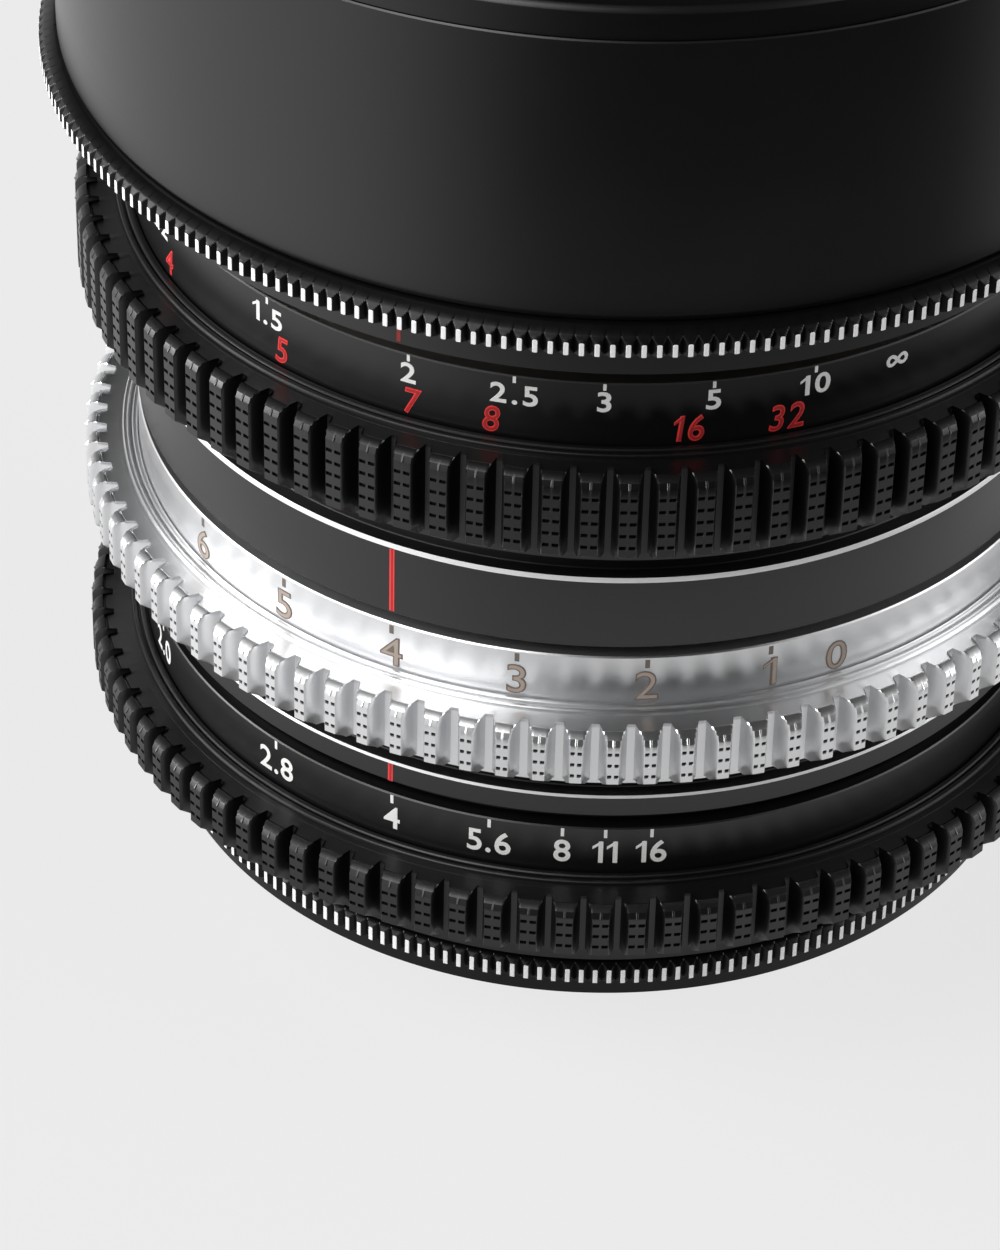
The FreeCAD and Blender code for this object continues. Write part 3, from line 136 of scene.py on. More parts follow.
class LensColours(bpy.types.PropertyGroup):
    """Colours of the finishes."""

    black: FloatVectorProperty(
        name="Black", description="Black anodised aluminium", default=(0.0030, 0.0030, 0.0032), **COLOUR)
    aluminium: FloatVectorProperty(
        name="Aluminium", description="Bare aluminium", default=(0.88, 0.885, 0.895), **COLOUR)
    white: FloatVectorProperty(
        name="White marks", description="Paint of the metre and aperture scales", default=(0.80, 0.80, 0.78),
        **COLOUR)
    red: FloatVectorProperty(
        name="Red marks", description="Paint of the index lines and the feet scale",
        default=(0.88, 0.045, 0.045), **COLOUR)
    taupe: FloatVectorProperty(
        name="Grey marks", description="Paint of the marks on bare aluminium", default=(0.16, 0.13, 0.11),
        **COLOUR)


class StudioSettings(bpy.types.PropertyGroup):
    """Light and backdrop of the studio."""

    backdrop: FloatVectorProperty(
        name="Backdrop", description="Colour of the floor and the air behind the lens", default=(0.87, 0.87, 0.87),
        **COLOUR)
    floor_glow: FloatProperty(
        name="Floor glow", description="Share of the floor that is even backdrop colour", default=0.85, min=0,
        max=1, subtype="FACTOR")
    air_light: FloatProperty(
        name="Air light", description="Strength of the even light from all round", default=1.1, min=0)
    left_power: FloatProperty(
        name="Left lamp", description="Power of the left lamp", default=6.0, unit="POWER")
    high_power: FloatProperty(
        name="High lamp", description="Power of the high lamp on the left", default=2.0, unit="POWER")
    right_power: FloatProperty(
        name="Right lamp", description="Power of the right lamp", default=2.0, unit="POWER")


# Shader maths and finishes


class Value:
    """A socket of numbers. Sums, products and comparisons of values add Math nodes."""

    def __init__(self, finish, socket):
        self.finish = finish
        self.socket = socket

    def maths(self, operation, *others, reverse=False):
        """Add a Math node of this value and others, in the other order if asked."""
        values = [self] + list(others)
        if reverse:
            values.reverse()
        return self.finish.add("ShaderNodeMath", {"operation": operation}, dict(enumerate(values)))[0]

    def __add__(self, other):
        return self.maths("ADD", other)

    __radd__ = __add__

    def __mul__(self, other):
        return self.maths("MULTIPLY", other)

    __rmul__ = __mul__

    def __sub__(self, other):
        return self.maths("SUBTRACT", other)

    def __rsub__(self, other):
        return self.maths("SUBTRACT", other, reverse=True)

    def __gt__(self, other):
        return self.maths("GREATER_THAN", other)

    def __lt__(self, other):
        return self.maths("LESS_THAN", other)


class Finish:
    """A node material under construction, whose patterns are in millimetres about the optical axis."""

    def __init__(self, name, tree=None):
        if tree is None:
            self.material = bpy.data.materials.new(name)
            self.material.use_nodes = True
            tree = self.material.node_tree
        self.tree = tree
        tree.nodes.clear()

    def add(self, kind, settings=None, sockets=None):
        """Add a node: its settings first, then the values or links of its sockets. Returns its outputs."""
        node = self.tree.nodes.new(kind)
        for name, value in (settings or {}).items():
            if name == "stops":
                ramp = node.color_ramp
                while len(ramp.elements) < len(value):
                    ramp.elements.new(0.5)
                for element, (position, colour) in zip(ramp.elements, value):
                    element.position = position
                    element.color = colour
            else:
                setattr(node, name, value)
        for name, value in (sockets or {}).items():
            socket = node.inputs[name]
            if isinstance(value, Value):
                self.tree.links.new(value.socket, socket)
            else:
                socket.default_value = value
        return [Value(self, output) for output in node.outputs if output.enabled]

    def place(self):
        """Object coordinates in millimetres."""
        corner = self.add("ShaderNodeTexCoord")[3]
        return self.add("ShaderNodeVectorMath", {"operation": "SCALE"}, {0: corner, "Scale": 1 / MM})[0]

    def polar(self):
        """Distance from the optical axis, angle round it, and height."""
        x, y, z = self.add("ShaderNodeSeparateXYZ", {}, {0: self.place()})
        radius = (x * x + y * y).maths("POWER", 0.5)
        return radius, y.maths("ARCTAN2", x), z

    def noise(self, vector, scale, detail=2.0, roughness=0.5):
        """Smooth noise of about `scale` swings to a millimetre."""
        return self.add("ShaderNodeTexNoise", {}, {
            "Vector": vector, "Scale": scale, "Detail": detail, "Roughness": roughness})[0]

    def vector(self, x, y, z):
        """A vector of three values."""
        return self.add("ShaderNodeCombineXYZ", {}, {0: x, 1: y, 2: z})[0]

    def ramp(self, value, low, high, to_low=0.0, to_high=1.0):
        """A value's range from low to high stretched over another range."""
        return self.add("ShaderNodeMapRange", {}, {
            "Value": value, "From Min": low, "From Max": high, "To Min": to_low, "To Max": to_high})[0]

    def mix(self, factor, first, second):
        """A colour between two, by a factor."""
        first, second = ((*c, 1.0) if isinstance(c, (tuple, list)) and len(c) == 3 else c
                         for c in (first, second))
        return self.add("ShaderNodeMix", {"data_type": "RGBA"}, {0: factor, 6: first, 7: second})[0]

    def bump(self, height, distance, strength):
        """Surface relief: height in units of `distance` metres."""
        return self.add("ShaderNodeBump", {}, {"Height": height, "Distance": distance, "Strength": strength})[0]

    def surface(self, **sockets):
        """Close the material with one Principled shader."""
        named = {name.replace("_", " "): value for name, value in sockets.items()}
        for name, value in named.items():
            if name == "Base Color" and not isinstance(value, Value):
                named[name] = (*value, 1.0)
        shader = self.add("ShaderNodeBsdfPrincipled", {}, named)[0]
        self.add("ShaderNodeOutputMaterial", {}, {0: shader})
        return self.material


def turned_marks(finish, fine):
    """Fine rings left by the lathe: noise drawn out round the optical axis."""
    radius, angle, height = finish.polar()
    return finish.noise(finish.vector(radius * fine, angle * 3.0, height * fine), 1.0, 3.0, 0.7)


def shade_of(colour, factor):
    """A colour made darker or lighter by a factor."""
    return tuple(min(1.0, part * factor) for part in colour)


def painted_pit_shade(finish):
    """Painted shade in the pits: one on a plain surface, and 0.1 on the floors of the pits of the lands, which the
    finish paints almost black.
    """
    return finish.ramp(finish.add("ShaderNodeAttribute", {"attribute_name": "pit"})[2], 0.0, 1.0, 1.0, 0.1)


def black_anodised(name, colour, roughness):
    """Black anodised aluminium: a fine satin grain with faint turning marks and soft uneven gloss."""
    finish = Finish(name)
    place = finish.place()
    grains = finish.noise(place, 7.0, 2.0, 0.6)
    cloud = finish.noise(place, 0.06, 2.0)
    marks = turned_marks(finish, 6.0)
    return finish.surface(
        Base_Color=finish.mix(cloud, shade_of(colour, 0.8), shade_of(colour, 1.25)),
        Roughness=finish.ramp(cloud * 0.6 + marks * 0.4, 0.25, 0.75, roughness - 0.03, roughness + 0.04),
        IOR=1.6,
        Normal=finish.bump(grains * 0.7 + marks * 0.3, 0.000006, 0.8))


def bare_aluminium(name, colour, roughness, metallic=1.0):
    """Bare turned aluminium: bright metal with fine rings and faint finger-dulled clouds, with painted shade that
    makes the floors of the pits almost black.

    Its gloss is blurred along the axis, across the rings, more than round it.
    """
    finish = Finish(name)
    marks = turned_marks(finish, 9.0)
    cloud = finish.noise(finish.place(), 0.09, 3.0)
    return finish.surface(
        # Painted shade: the floors of the pits take a near-black colour in place of the shade that falls in them
        Base_Color=finish.mix(painted_pit_shade(finish), (0.02, 0.02, 0.02), finish.mix(
            cloud * 0.5 + marks * 0.5, shade_of(colour, 0.93), shade_of(colour, 1.02))),
        Metallic=metallic,
        Anisotropic=0.5,
        Anisotropic_Rotation=0.25,
        Roughness=finish.ramp(marks * 0.7 + cloud * 0.3, 0.2, 0.8, roughness - 0.03, roughness + 0.03),
        Normal=finish.bump(marks, 0.0000015, 0.6))


# The knurls: the lands' share of the pitch, the depth of the grooves, and the corner of a bare land
LAND_SHARE = 0.33
GROOVE_DEPTH = 0.36
LAND_CORNER = 0.09


def knurled_black(name, colour, metal, tip, count, phase, low, high):
    """Black anodised knurling whose lands are bare metal with round ends.

    A point is bare if it lies in a rectangle with round corners on a land: it is less than the corner's radius
    away from the rectangle that is smaller by that radius on each side.
    """
    finish = Finish(name)
    radius, angle, height = finish.polar()
    wear = finish.noise(finish.vector(radius, angle * 40.0, height), 1.0, 3.0)
    half_pitch = math.pi / count
    around = (angle + (math.pi / 2 - math.radians(phase))).maths("WRAP", half_pitch, -half_pitch) * tip
    past_side = (around.maths("ABSOLUTE") - (LAND_SHARE * half_pitch * tip - LAND_CORNER)).maths("MAXIMUM", 0.0)
    past_end = (height - (low + high) / 2).maths("ABSOLUTE") - ((high - low) / 2 - LAND_CORNER)
    past_end = past_end.maths("MAXIMUM", 0.0)
    land = (past_side * past_side + past_end * past_end < LAND_CORNER ** 2) * (radius > tip - 0.05)
    return finish.surface(
        Base_Color=finish.mix(land, tuple(colour), shade_of(metal, 1.12)),
        Metallic=land * 0.15,
        IOR=1.35,
        Roughness=finish.ramp(wear, 0.25, 0.75, 0.26, 0.36),
        Normal=finish.bump(turned_marks(finish, 10.0), 0.000005, 0.6))


def paint(name, colour):
    """Engraver's paint: an almost even coat with a slightly grainy skin."""
    finish = Finish(name)
    skin = finish.noise(finish.place(), 9.0, 2.0)
    return finish.surface(
        Base_Color=finish.mix(skin, shade_of(colour, 0.9), shade_of(colour, 1.06)),
        Roughness=finish.ramp(skin, 0.3, 0.7, 0.45, 0.55),
        Normal=finish.bump(skin, 0.000004, 0.5))


def matte_black(name):
    """Flat black baffle paint with a fine sandy skin."""
    colour = (0.006, 0.006, 0.0065)
    finish = Finish(name)
    place = finish.place()
    sand = finish.noise(place, 5.0, 3.0, 0.7)
    cloud = finish.noise(place, 0.15, 2.0)
    return finish.surface(
        Base_Color=finish.mix(cloud, shade_of(colour, 0.8), shade_of(colour, 1.5)),
        Roughness=finish.ramp(sand, 0.2, 0.8, 0.62, 0.85),
        Normal=finish.bump(sand, 0.00002, 0.8))


def plain_metal(name, colour, roughness):
    """Turned metal of the inner pieces: rings left by the tool over a soft tarnish."""
    finish = Finish(name)
    marks = turned_marks(finish, 5.0)
    tarnish = finish.noise(finish.place(), 0.3, 3.0)
    return finish.surface(
        Base_Color=finish.mix(tarnish, shade_of(colour, 0.8), colour),
        Metallic=1.0,
        Roughness=finish.ramp(marks * 0.5 + tarnish * 0.5, 0.25, 0.75, roughness - 0.05, roughness + 0.08),
        Normal=finish.bump(marks, 0.000008, 0.6))


def washer_plastic():
    """Milky low-friction plastic with a faint sawn grain."""
    finish = Finish("washer_plastic")
    grain = finish.noise(finish.place(), 3.0, 2.0)
    return finish.surface(
        Base_Color=finish.mix(grain, (0.62, 0.60, 0.55), (0.74, 0.72, 0.67)),
        Roughness=finish.ramp(grain, 0.3, 0.7, 0.42, 0.55),
        Normal=finish.bump(grain, 0.00001, 0.5))


def coated_glass(name, tint):
    """Coated optical glass: clear, with a coloured sheen that drifts a little across the surface."""
    finish = Finish(name)
    radius, angle, height = finish.polar()
    drift = finish.noise(finish.vector(radius * 0.05, angle * 0.3, height * 0.05), 1.0, 1.0)
    return finish.surface(
        Base_Color=finish.mix(drift, shade_of(tint, 0.92), shade_of(tint, 1.04)),
        Roughness=finish.ramp(drift, 0.2, 0.8, 0.0, 0.012),
        Transmission_Weight=1.0,
        IOR=1.52,
        Coat_Weight=finish.ramp(drift, 0.2, 0.8, 0.25, 0.4))


# Shapes


SHARP_ANGLE = math.radians(24)


def put_mesh(name, points, faces, finish, body, replaces=()):
    """Make a piece of points (millimetres) and faces, with its finish, and let it ride on its body."""
    mesh = bpy.data.meshes.new(name)
    points = np.asarray(points, float).reshape(-1, 3) * MM
    sides = faces.shape[1]
    mesh.vertices.add(len(points))
    mesh.vertices.foreach_set("co", points.astype(np.float32).ravel())
    mesh.loops.add(faces.size)
    mesh.loops.foreach_set("vertex_index", faces.astype(np.int32).ravel())
    mesh.polygons.add(len(faces))
    mesh.polygons.foreach_set("loop_start", np.arange(len(faces), dtype=np.int32) * sides)
    mesh.update(calc_edges=True)
    mesh.validate()
    mesh.shade_smooth()
    mesh.set_sharp_from_angle(angle=SHARP_ANGLE)
    mesh.materials.append(finish)
    piece = bpy.data.objects.new(name, mesh)
    bpy.context.scene.collection.objects.link(piece)
    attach(piece, body)
    if replaces:
        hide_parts(*replaces)
    return piece


def grid_faces(rows, columns):
    """Four-sided faces of a grid that closes both ways."""
    index = np.arange(rows * columns).reshape(rows, columns)
    after = np.roll(index, -1, axis=0)
    return np.stack([index, np.roll(index, -1, axis=1), np.roll(after, -1, axis=1), after], -1).reshape(-1, 4)


def wrapped(radius, azimuth, height):
    """Points from radius, azimuth in radians and height."""
    radius, azimuth, height = np.broadcast_arrays(radius, azimuth, height)
    return np.stack([radius * np.sin(azimuth), -radius * np.cos(azimuth), height], -1)


def eased(outline, width):
    """An outline with each corner broken by a small flat, at most a third of its shorter side."""
    corners = np.array([corner[:2] for corner in outline], float)
    widths = np.array([corner[2] if len(corner) > 2 else width for corner in outline], float)
    back = np.roll(corners, 1, axis=0) - corners
    ahead = np.roll(corners, -1, axis=0) - corners
    back_length = np.hypot(*back.T)
    ahead_length = np.hypot(*ahead.T)
    cut = np.minimum(widths, np.minimum(back_length, ahead_length) / 3)
    first = corners + back * (cut / back_length)[:, None]
    second = corners + ahead * (cut / ahead_length)[:, None]
    points = np.stack([first, second], 1)
    keep = np.stack([np.ones(len(corners), bool), cut > 0], 1)
    return points[keep]


COLUMNS = 384


def turned(name, outline, finish, body, replaces=()):
    """A lathe-turned piece: a closed outline with broken edges, swept round the optical axis."""
    outline = eased(outline, bpy.context.scene.lens_sizes.edge_break / MM)
    azimuth = np.linspace(0, 2 * np.pi, COLUMNS, endpoint=False)
    points = wrapped(outline[:, :1], azimuth[None, :], outline[:, 1:])
    return put_mesh(name, points, grid_faces(*points.shape[:2]), finish, body, replaces)


# The geared rims, in millimetres: how far the rounded front slope, the flat back slope and the skirt behind
# the teeth reach along the axis, the spacing of the rows of pits, half the height of a pit at its edge and
# at its floor, and the rise of the peak at the front end of a land
FRONT_SLOPE = 0.62
BACK_SLOPE = 0.4
SKIRT = 0.5
PIT_PITCH = 0.98
PIT_EDGE = 0.145
PIT_FLOOR = 0.10
PEAK = 0.10


def tooth_columns(count, tip, root, land, floor):
    """Angle, radius, pit and ridge of the columns across one tooth and half a valley on each side.

    The land is flat with a narrow broken edge, the flank bulges outwards as the power 1.2 of the way down,
    and the floor is flat. Pit is 1 on the floors of the land's two rows of pits, and ridge on the ridge
    between them.
    """
    half_pitch = math.pi / count
    half_land = land / 2
    half_root = (half_pitch - floor / 2 / root) * tip
    bevel = 0.03
    down = np.array([1.0, 0.8, 0.6, 0.4, 0.2])
    flank = np.zeros((len(down), 4))
    flank[:, 0] = half_land + down * (half_root - half_land)
    flank[:, 1] = bevel + (tip - bevel - root) * down ** 1.2
    flat = np.array([
        (half_land, bevel, 0, 0), (half_land - bevel, 0, 0, 0), (half_land - 0.045, 0, 0, 0),
        (half_land - 0.075, 0, 1, 0), (0.12, 0, 1, 0), (0.09, 0, 0, 0), (0.045, 0, 0, 1)])
    across, lowered, pit, ridge = np.concatenate([flank, flat]).T
    angle = np.concatenate([-across, across[::-1]]) / tip
    return (angle, *(np.concatenate([part, part[::-1]]) for part in (tip - lowered, pit, ridge)))


def geared_rim(name, bore, ledge, back, phase, rows, first, widths, finish, body):
    """A geared rim cut from a turned blank: radius = min(blank, tooth) less the pits of the lands.

    The rows of the grid follow the blank's outline, whose corners are (radius, height, flare), and the
    columns follow the teeth. The blank has a rounded slope in front and a flat one behind, where the floors
    flare: a flank's height above the floor shrinks by the flare times how low it already is. Each of the
    `rows` rows of pits takes four rows of the grid: edge, floor, floor, edge. The first lies `first` behind
    the front end of the land. The ridge between the pits ends in a small peak on the front slope. The vertex
    attribute "pit" is 1 on the floors of the pits.
    """
    sizes = bpy.context.scene.lens_sizes
    tip, root = sizes.gear_tip / MM, sizes.gear_root / MM
    count = sizes.tooth_count
    angle, *parts = tooth_columns(count, tip, root, *(width / MM for width in widths))
    turns = np.arange(count) * 2 * np.pi / count + math.radians(phase)
    azimuth = (turns[:, None] + angle[None, :]).ravel()
    tooth, pit, ridge = (np.tile(part, count) for part in parts)
    top, bottom, skirt = ledge - FRONT_SLOPE, back + BACK_SLOPE, back - SKIRT
    peak = top + PEAK
    centres = top - first - np.arange(rows) * PIT_PITCH
    offsets = np.array([-PIT_EDGE, -PIT_FLOOR, PIT_FLOOR, PIT_EDGE])
    lands = [(tip, height, 0.0) for height in (centres[::-1, None] + offsets[None, :]).ravel()]
    lower = [(bore, back, 1.0), (root - 0.8, back, 1.0), (root - 0.5, skirt, 1.0), (tip - 1.1, skirt, 1.0),
             (tip, bottom, 0.5), (tip, bottom + 0.25, 0.15)]
    upper = [(tip, top, 0.0), (tip - 0.03, peak, 0.0), (tip - 0.22, top + 0.48, 0.0), (tip - 0.5, top + 0.70, 0.0),
             (tip - 0.8, ledge + 0.18, 0.0), (tip - 0.88, ledge - 0.05, 0.0), (tip - 1.0, ledge - 0.05, 0.0),
             (tip - 1.05, ledge + 0.03, 0.0), (root - 0.4, ledge, 0.0), (bore, ledge, 0.0)]
    blank, height, flare = np.array(lower + lands + upper).T[:, :, None]
    cut = np.zeros(len(blank))
    cut[len(lower):-len(upper)] = np.tile([0.0, 1.0, 1.0, 0.0], rows)
    share = ((tooth - root) / (tip - root))[None, :]
    teeth = root + (tip - root) * share * (1 - flare * (1 - share))
    pits = cut[:, None] * pit[None, :]
    raised = (height == peak) * ridge[None, :] * PEAK
    radius = np.minimum(blank, teeth) - pits * sizes.pit_depth / MM + raised
    points = wrapped(radius, azimuth[None, :], height)
    piece = put_mesh(name, points, grid_faces(*points.shape[:2]), finish, body)
    attribute = piece.data.attributes.new("pit", "FLOAT", "POINT")
    attribute.data.foreach_set("value", pits.ravel().astype(np.float32))
    return piece


def knurled(name, outline, count, tip, phase, lands, finish_name, body, node):
    """A ring with straight V knurling: radius = min(blank, land and V groove with a rounded bottom).

    The lands are bare metal between the two heights of `lands`.
    """
    colours = bpy.context.scene.lens_colours
    finish = knurled_black(finish_name, colours.black, colours.aluminium, tip, count, phase, *lands)
    pitch = 2 * math.pi / count
    half = LAND_SHARE * pitch / 2
    part = np.array([0.0, 0.25, 0.5, 0.75, 0.9, 1.0, 1.1, 1.25, 1.5, 1.75])
    down = 1 - np.abs(1 - part)
    side = tip - 0.02
    angle = np.concatenate([[-half, -half * 0.8, half * 0.8], half + (pitch / 2 - half) * part])
    knurl = np.concatenate([[side, tip, tip], side - (GROOVE_DEPTH - 0.02) * down])
    azimuth = (np.arange(count)[:, None] * pitch + math.radians(phase) + angle[None, :]).ravel()
    knurl = np.tile(knurl, count)
    outline = eased(outline, 0.03)
    points = wrapped(np.minimum(outline[:, :1], knurl[None, :]), azimuth[None, :], outline[:, 1:])
    return put_mesh(name, points, grid_faces(*points.shape[:2]), finish, body, [node])


def marks(name, bars, radius, finish, body, slot):
    """Painted bars on a band: boxes of (azimuth, width, lowest height, highest height)."""
    thickness = bpy.context.scene.lens_sizes.mark_relief / MM
    bars = np.array(bars, float)
    centre, half = np.radians(bars[:, 0]), bars[:, 1] / 2 / radius
    columns = np.stack([centre - half, centre, centre + half], 1)[:, [0, 1, 2, 2, 1, 0]]
    radii = np.array([1.0, 1.0, 1.0, 0.0, 0.0, 0.0]) * 2 * thickness + radius - thickness
    low = wrapped(radii[None, :], columns, bars[:, 2:3])
    high = wrapped(radii[None, :], columns, bars[:, 3:4])
    points = np.concatenate([low, high], 1)
    ring = np.arange(6)
    after = np.roll(ring, -1)
    sides = np.stack([ring, after, after + 6, ring + 6], 1)
    ends = np.array([[0, 5, 4, 1], [1, 4, 3, 2], [6, 7, 10, 11], [7, 8, 9, 10]])
    faces = np.concatenate([sides, ends])
    faces = (faces[None] + np.arange(len(bars))[:, None, None] * 12).reshape(-1, 4)
    return put_mesh(name, points, faces, finish, body)


# The font's figure height, and the flag of a one: its stroke, its width and its fall, as shares of the size.
# The inside of a mark lies a little proud of its edge, in millimetres
DIGIT_HEIGHT = 0.70
FLAG_STROKE, FLAG_WIDTH, FLAG_FALL = 0.105, 0.40, 0.26
INSIDE_LIFT = 0.012


def flag_of_one(right, size, weight):
    """Points and triangles of the flag of a one: a slanted bar that falls to the left from its top."""
    stroke = (FLAG_STROKE * size + 2 * weight) / 2
    left, foot = right - FLAG_WIDTH * size, size - FLAG_FALL * size
    corners = np.array([(right - stroke, size), (left, foot), (left, foot - stroke * 1.6),
                        (right - stroke, size - stroke * 1.9)])
    points = np.concatenate([np.c_[corners, np.full(4, side)] for side in (-0.48, 0.48)])
    triangles = np.array([(0, 1, 5), (0, 5, 4), (1, 2, 6), (1, 6, 5), (2, 3, 7), (2, 7, 6), (3, 0, 4),
                          (3, 4, 7), (0, 2, 1), (0, 3, 2), (4, 5, 6), (4, 6, 7)])
    return points, triangles


def figure(letter, size, weight, slant):
    """Points and triangles of one figure, whose foot is at y = 0. A one gets a flag at its top."""
    curve = bpy.data.curves.new("figure", "FONT")
    curve.body = letter
    curve.size = (size - 2 * weight) / DIGIT_HEIGHT
    curve.shear = slant
    curve.offset = weight
    curve.extrude = 0.5
    curve.resolution_u = 4
    text = bpy.data.objects.new("figure", curve)
    bpy.context.scene.collection.objects.link(text)
    bpy.context.view_layer.update()
    mesh = bpy.data.meshes.new_from_object(text)
    points = np.empty(len(mesh.vertices) * 3, np.float32)
    mesh.vertices.foreach_get("co", points)
    points = points.reshape(-1, 3).astype(float)
    mesh.calc_loop_triangles()
    triangles = np.empty(len(mesh.loop_triangles) * 3, np.int32)
    mesh.loop_triangles.foreach_get("vertices", triangles)
    triangles = triangles.reshape(-1, 3)
    bpy.data.objects.remove(text)
    bpy.data.curves.remove(curve)
    bpy.data.meshes.remove(mesh)
    points[:, 1] += weight
    if letter == "1":
        flag, sides = flag_of_one(points[:, 0].max(), size, weight)
        triangles = np.concatenate([triangles, sides + len(points)])
        points = np.concatenate([points, flag])
    return points, triangles


def numerals(name, words, radius, finish, body, slot, middle, size, slant=0.0, weight=0.04, narrow=0.95,
             spacing=0.13, lift=0.0):
    """Painted figures wrapped on a band: azimuth grows with the text's own x, height with its y.

    Each word is laid figure by figure, centred on its azimuth, with even gaps between the figures.
    """
    thickness = bpy.context.scene.lens_sizes.mark_relief / MM
    letters = sorted(set("".join(word for word, _ in words)))
    figures = {letter: figure(letter, size, weight, slant) for letter in letters}
    points, faces, start = [], [], 0
    gap = spacing * size + 2 * (0.05 - weight)
    for word, azimuth in words:
        widths = [np.ptp(figures[letter][0][:, 0]) for letter in word]
        cursor = -(sum(widths) + gap * (len(word) - 1)) / 2
        for letter, width in zip(word, widths):
            flat, triangles = figures[letter]
            x = (flat[:, 0] - flat[:, 0].min() + cursor) * narrow
            points.append(wrapped(radius + lift + thickness * (0.5 + flat[:, 2] * 2),
                                  math.radians(azimuth) + x / radius, middle + flat[:, 1] - size / 2))
            faces.append(triangles + start)
            start += len(flat)
            cursor += width + gap
    return put_mesh(name, np.concatenate(points), np.concatenate(faces), finish, body)


def inlaid_numerals(name, words, radius, edge, inside, body, slot, size, weight, inset, **shape):
    """Figures with a painted edge round an inside of another shade."""
    numerals(name, words, radius, edge, body, slot, size=size, weight=weight, **shape)
    numerals(name + "_insides", words, radius, inside, body, slot, size=size - 2 * inset,
             weight=weight - inset, lift=INSIDE_LIFT, **shape)


def endless_sign(name, radius, finish, body, slot, azimuth, middle, width, height, stroke):
    """The sign for infinity: a painted ribbon along a lemniscate, x = cos t / (1 + sin² t), y = x sin t."""
    thickness = bpy.context.scene.lens_sizes.mark_relief / MM
    turn = np.linspace(0, 2 * np.pi, 64, endpoint=False)
    x = np.cos(turn) / (1 + np.sin(turn) ** 2)
    y = x * np.sin(turn)
    path = np.stack([x * (width - stroke) / 2, y * (height - stroke) / 2 / y.max()], -1)
    along = np.roll(path, -1, axis=0) - np.roll(path, 1, axis=0)
    side = np.stack([-along[:, 1], along[:, 0]], -1) / np.hypot(*along.T)[:, None] * stroke / 2
    flat = np.stack([path - side, path - side, path + side, path + side], 0)
    rise = np.array([0.0, 2.0, 2.0, 0.0])[:, None] * thickness
    points = wrapped(radius - thickness / 2 + rise, math.radians(azimuth) + flat[..., 0] / radius,
                     middle + flat[..., 1])
    return put_mesh(name, points, grid_faces(*points.shape[:2]), finish, body)


def dress(node, finish):
    """Give a carried-over CAD node its finish."""
    slots = NODES[node].data.materials
    if not slots:
        slots.append(finish)
    for index in range(len(slots)):
        slots[index] = finish


class LENS_OT_front_drum(bpy.types.Operator):
    """Make the front drum, the ring with the front thread and the stepped hood"""

    bl_idname = "lens.front_drum"
    bl_label = "Front drum"
    bl_options = {"REGISTER", "UNDO"}

    def execute(self, context):
        low, high = heights("front_drum")
        high -= 0.02
        radius = reach("front_drum")
        wall, floor = 1.7, 1.9
        satin = black_anodised("satin_black", context.scene.lens_colours.black, 0.32)
        foot = [(38.85, low, 0.02), (38.97, low + 0.05, 0.0), (39.1, low + 0.15, 0.0), (39.19, low + 0.3, 0.0),
                (39.24, low + 0.5, 0.0), (radius, low + 0.8, 0.0)]
        turned("drum_shell", [(INNER_WALL, low)] + foot + [
            (radius, high, 0.1), (radius - wall, high), (radius - wall, low + floor), (INNER_WALL, low + floor)],
            satin, "front_unit", ["front_drum"])
        self.thread_ring(context.scene.lens_sizes, satin, radius - wall)
        self.hood(radius - wall)
        return {"FINISHED"}

    def thread_ring(self, sizes, satin, seat):
        """The front thread: the bore's radius swings by a triangle wave of height / pitch less turn."""
        low, high = heights("filter_ring")
        rim, bore, chamfer, spigot = 39.1, 33.1, 0.4, 2.0
        pitch, depth = sizes.thread_pitch / MM, sizes.thread_depth / MM
        joint = low + spigot
        outline = eased([(bore, low), (seat, low), (seat, joint), (rim, joint), (rim, high - chamfer),
                         (rim - chamfer, high), (bore + chamfer, high)], 0.05)
        thread = np.linspace(high - chamfer, low + 0.2, 44)
        radii = np.concatenate([outline[:, 0], np.full(len(thread), bore)])
        height = np.concatenate([outline[:, 1], thread])
        fade_out = np.clip(np.minimum(thread - low - 0.3, high - chamfer - 0.1 - thread) / 0.4, 0, 1)
        share = np.concatenate([np.zeros(len(outline)), fade_out])
        azimuth = np.linspace(0, 2 * np.pi, COLUMNS, endpoint=False)
        wave = (height[:, None] / pitch - azimuth[None, :] / 2 / np.pi) % 1
        groove = (1 - np.abs(2 * wave - 1)) * depth * share[:, None]
        points = wrapped(radii[:, None] + groove, azimuth[None, :], height[:, None])
        put_mesh("front_thread_ring", points, grid_faces(*points.shape[:2]), satin, "front_unit",
                 ["filter_ring"])

    def hood(self, seat):
        """A stepped cone that narrows to the front glass."""
        low, high = heights("front_baffle")
        mouth, end, steps, rim = 33.0, 20.6, 9, 1.0
        tread, riser = (mouth - end) / steps, (high - low - rim) / steps
        outline = [(end, low), (mouth + rim, high - rim), (seat, high - rim), (seat, high)]
        for step in range(steps):
            radius = mouth - step * tread
            outline += [(radius, high - step * riser), (radius, high - (step + 1) * riser)]
        outline.append((end, high - steps * riser))
        turned("stepped_hood", outline, matte_black("baffle_black"), "front_unit",
               ["front_baffle"])


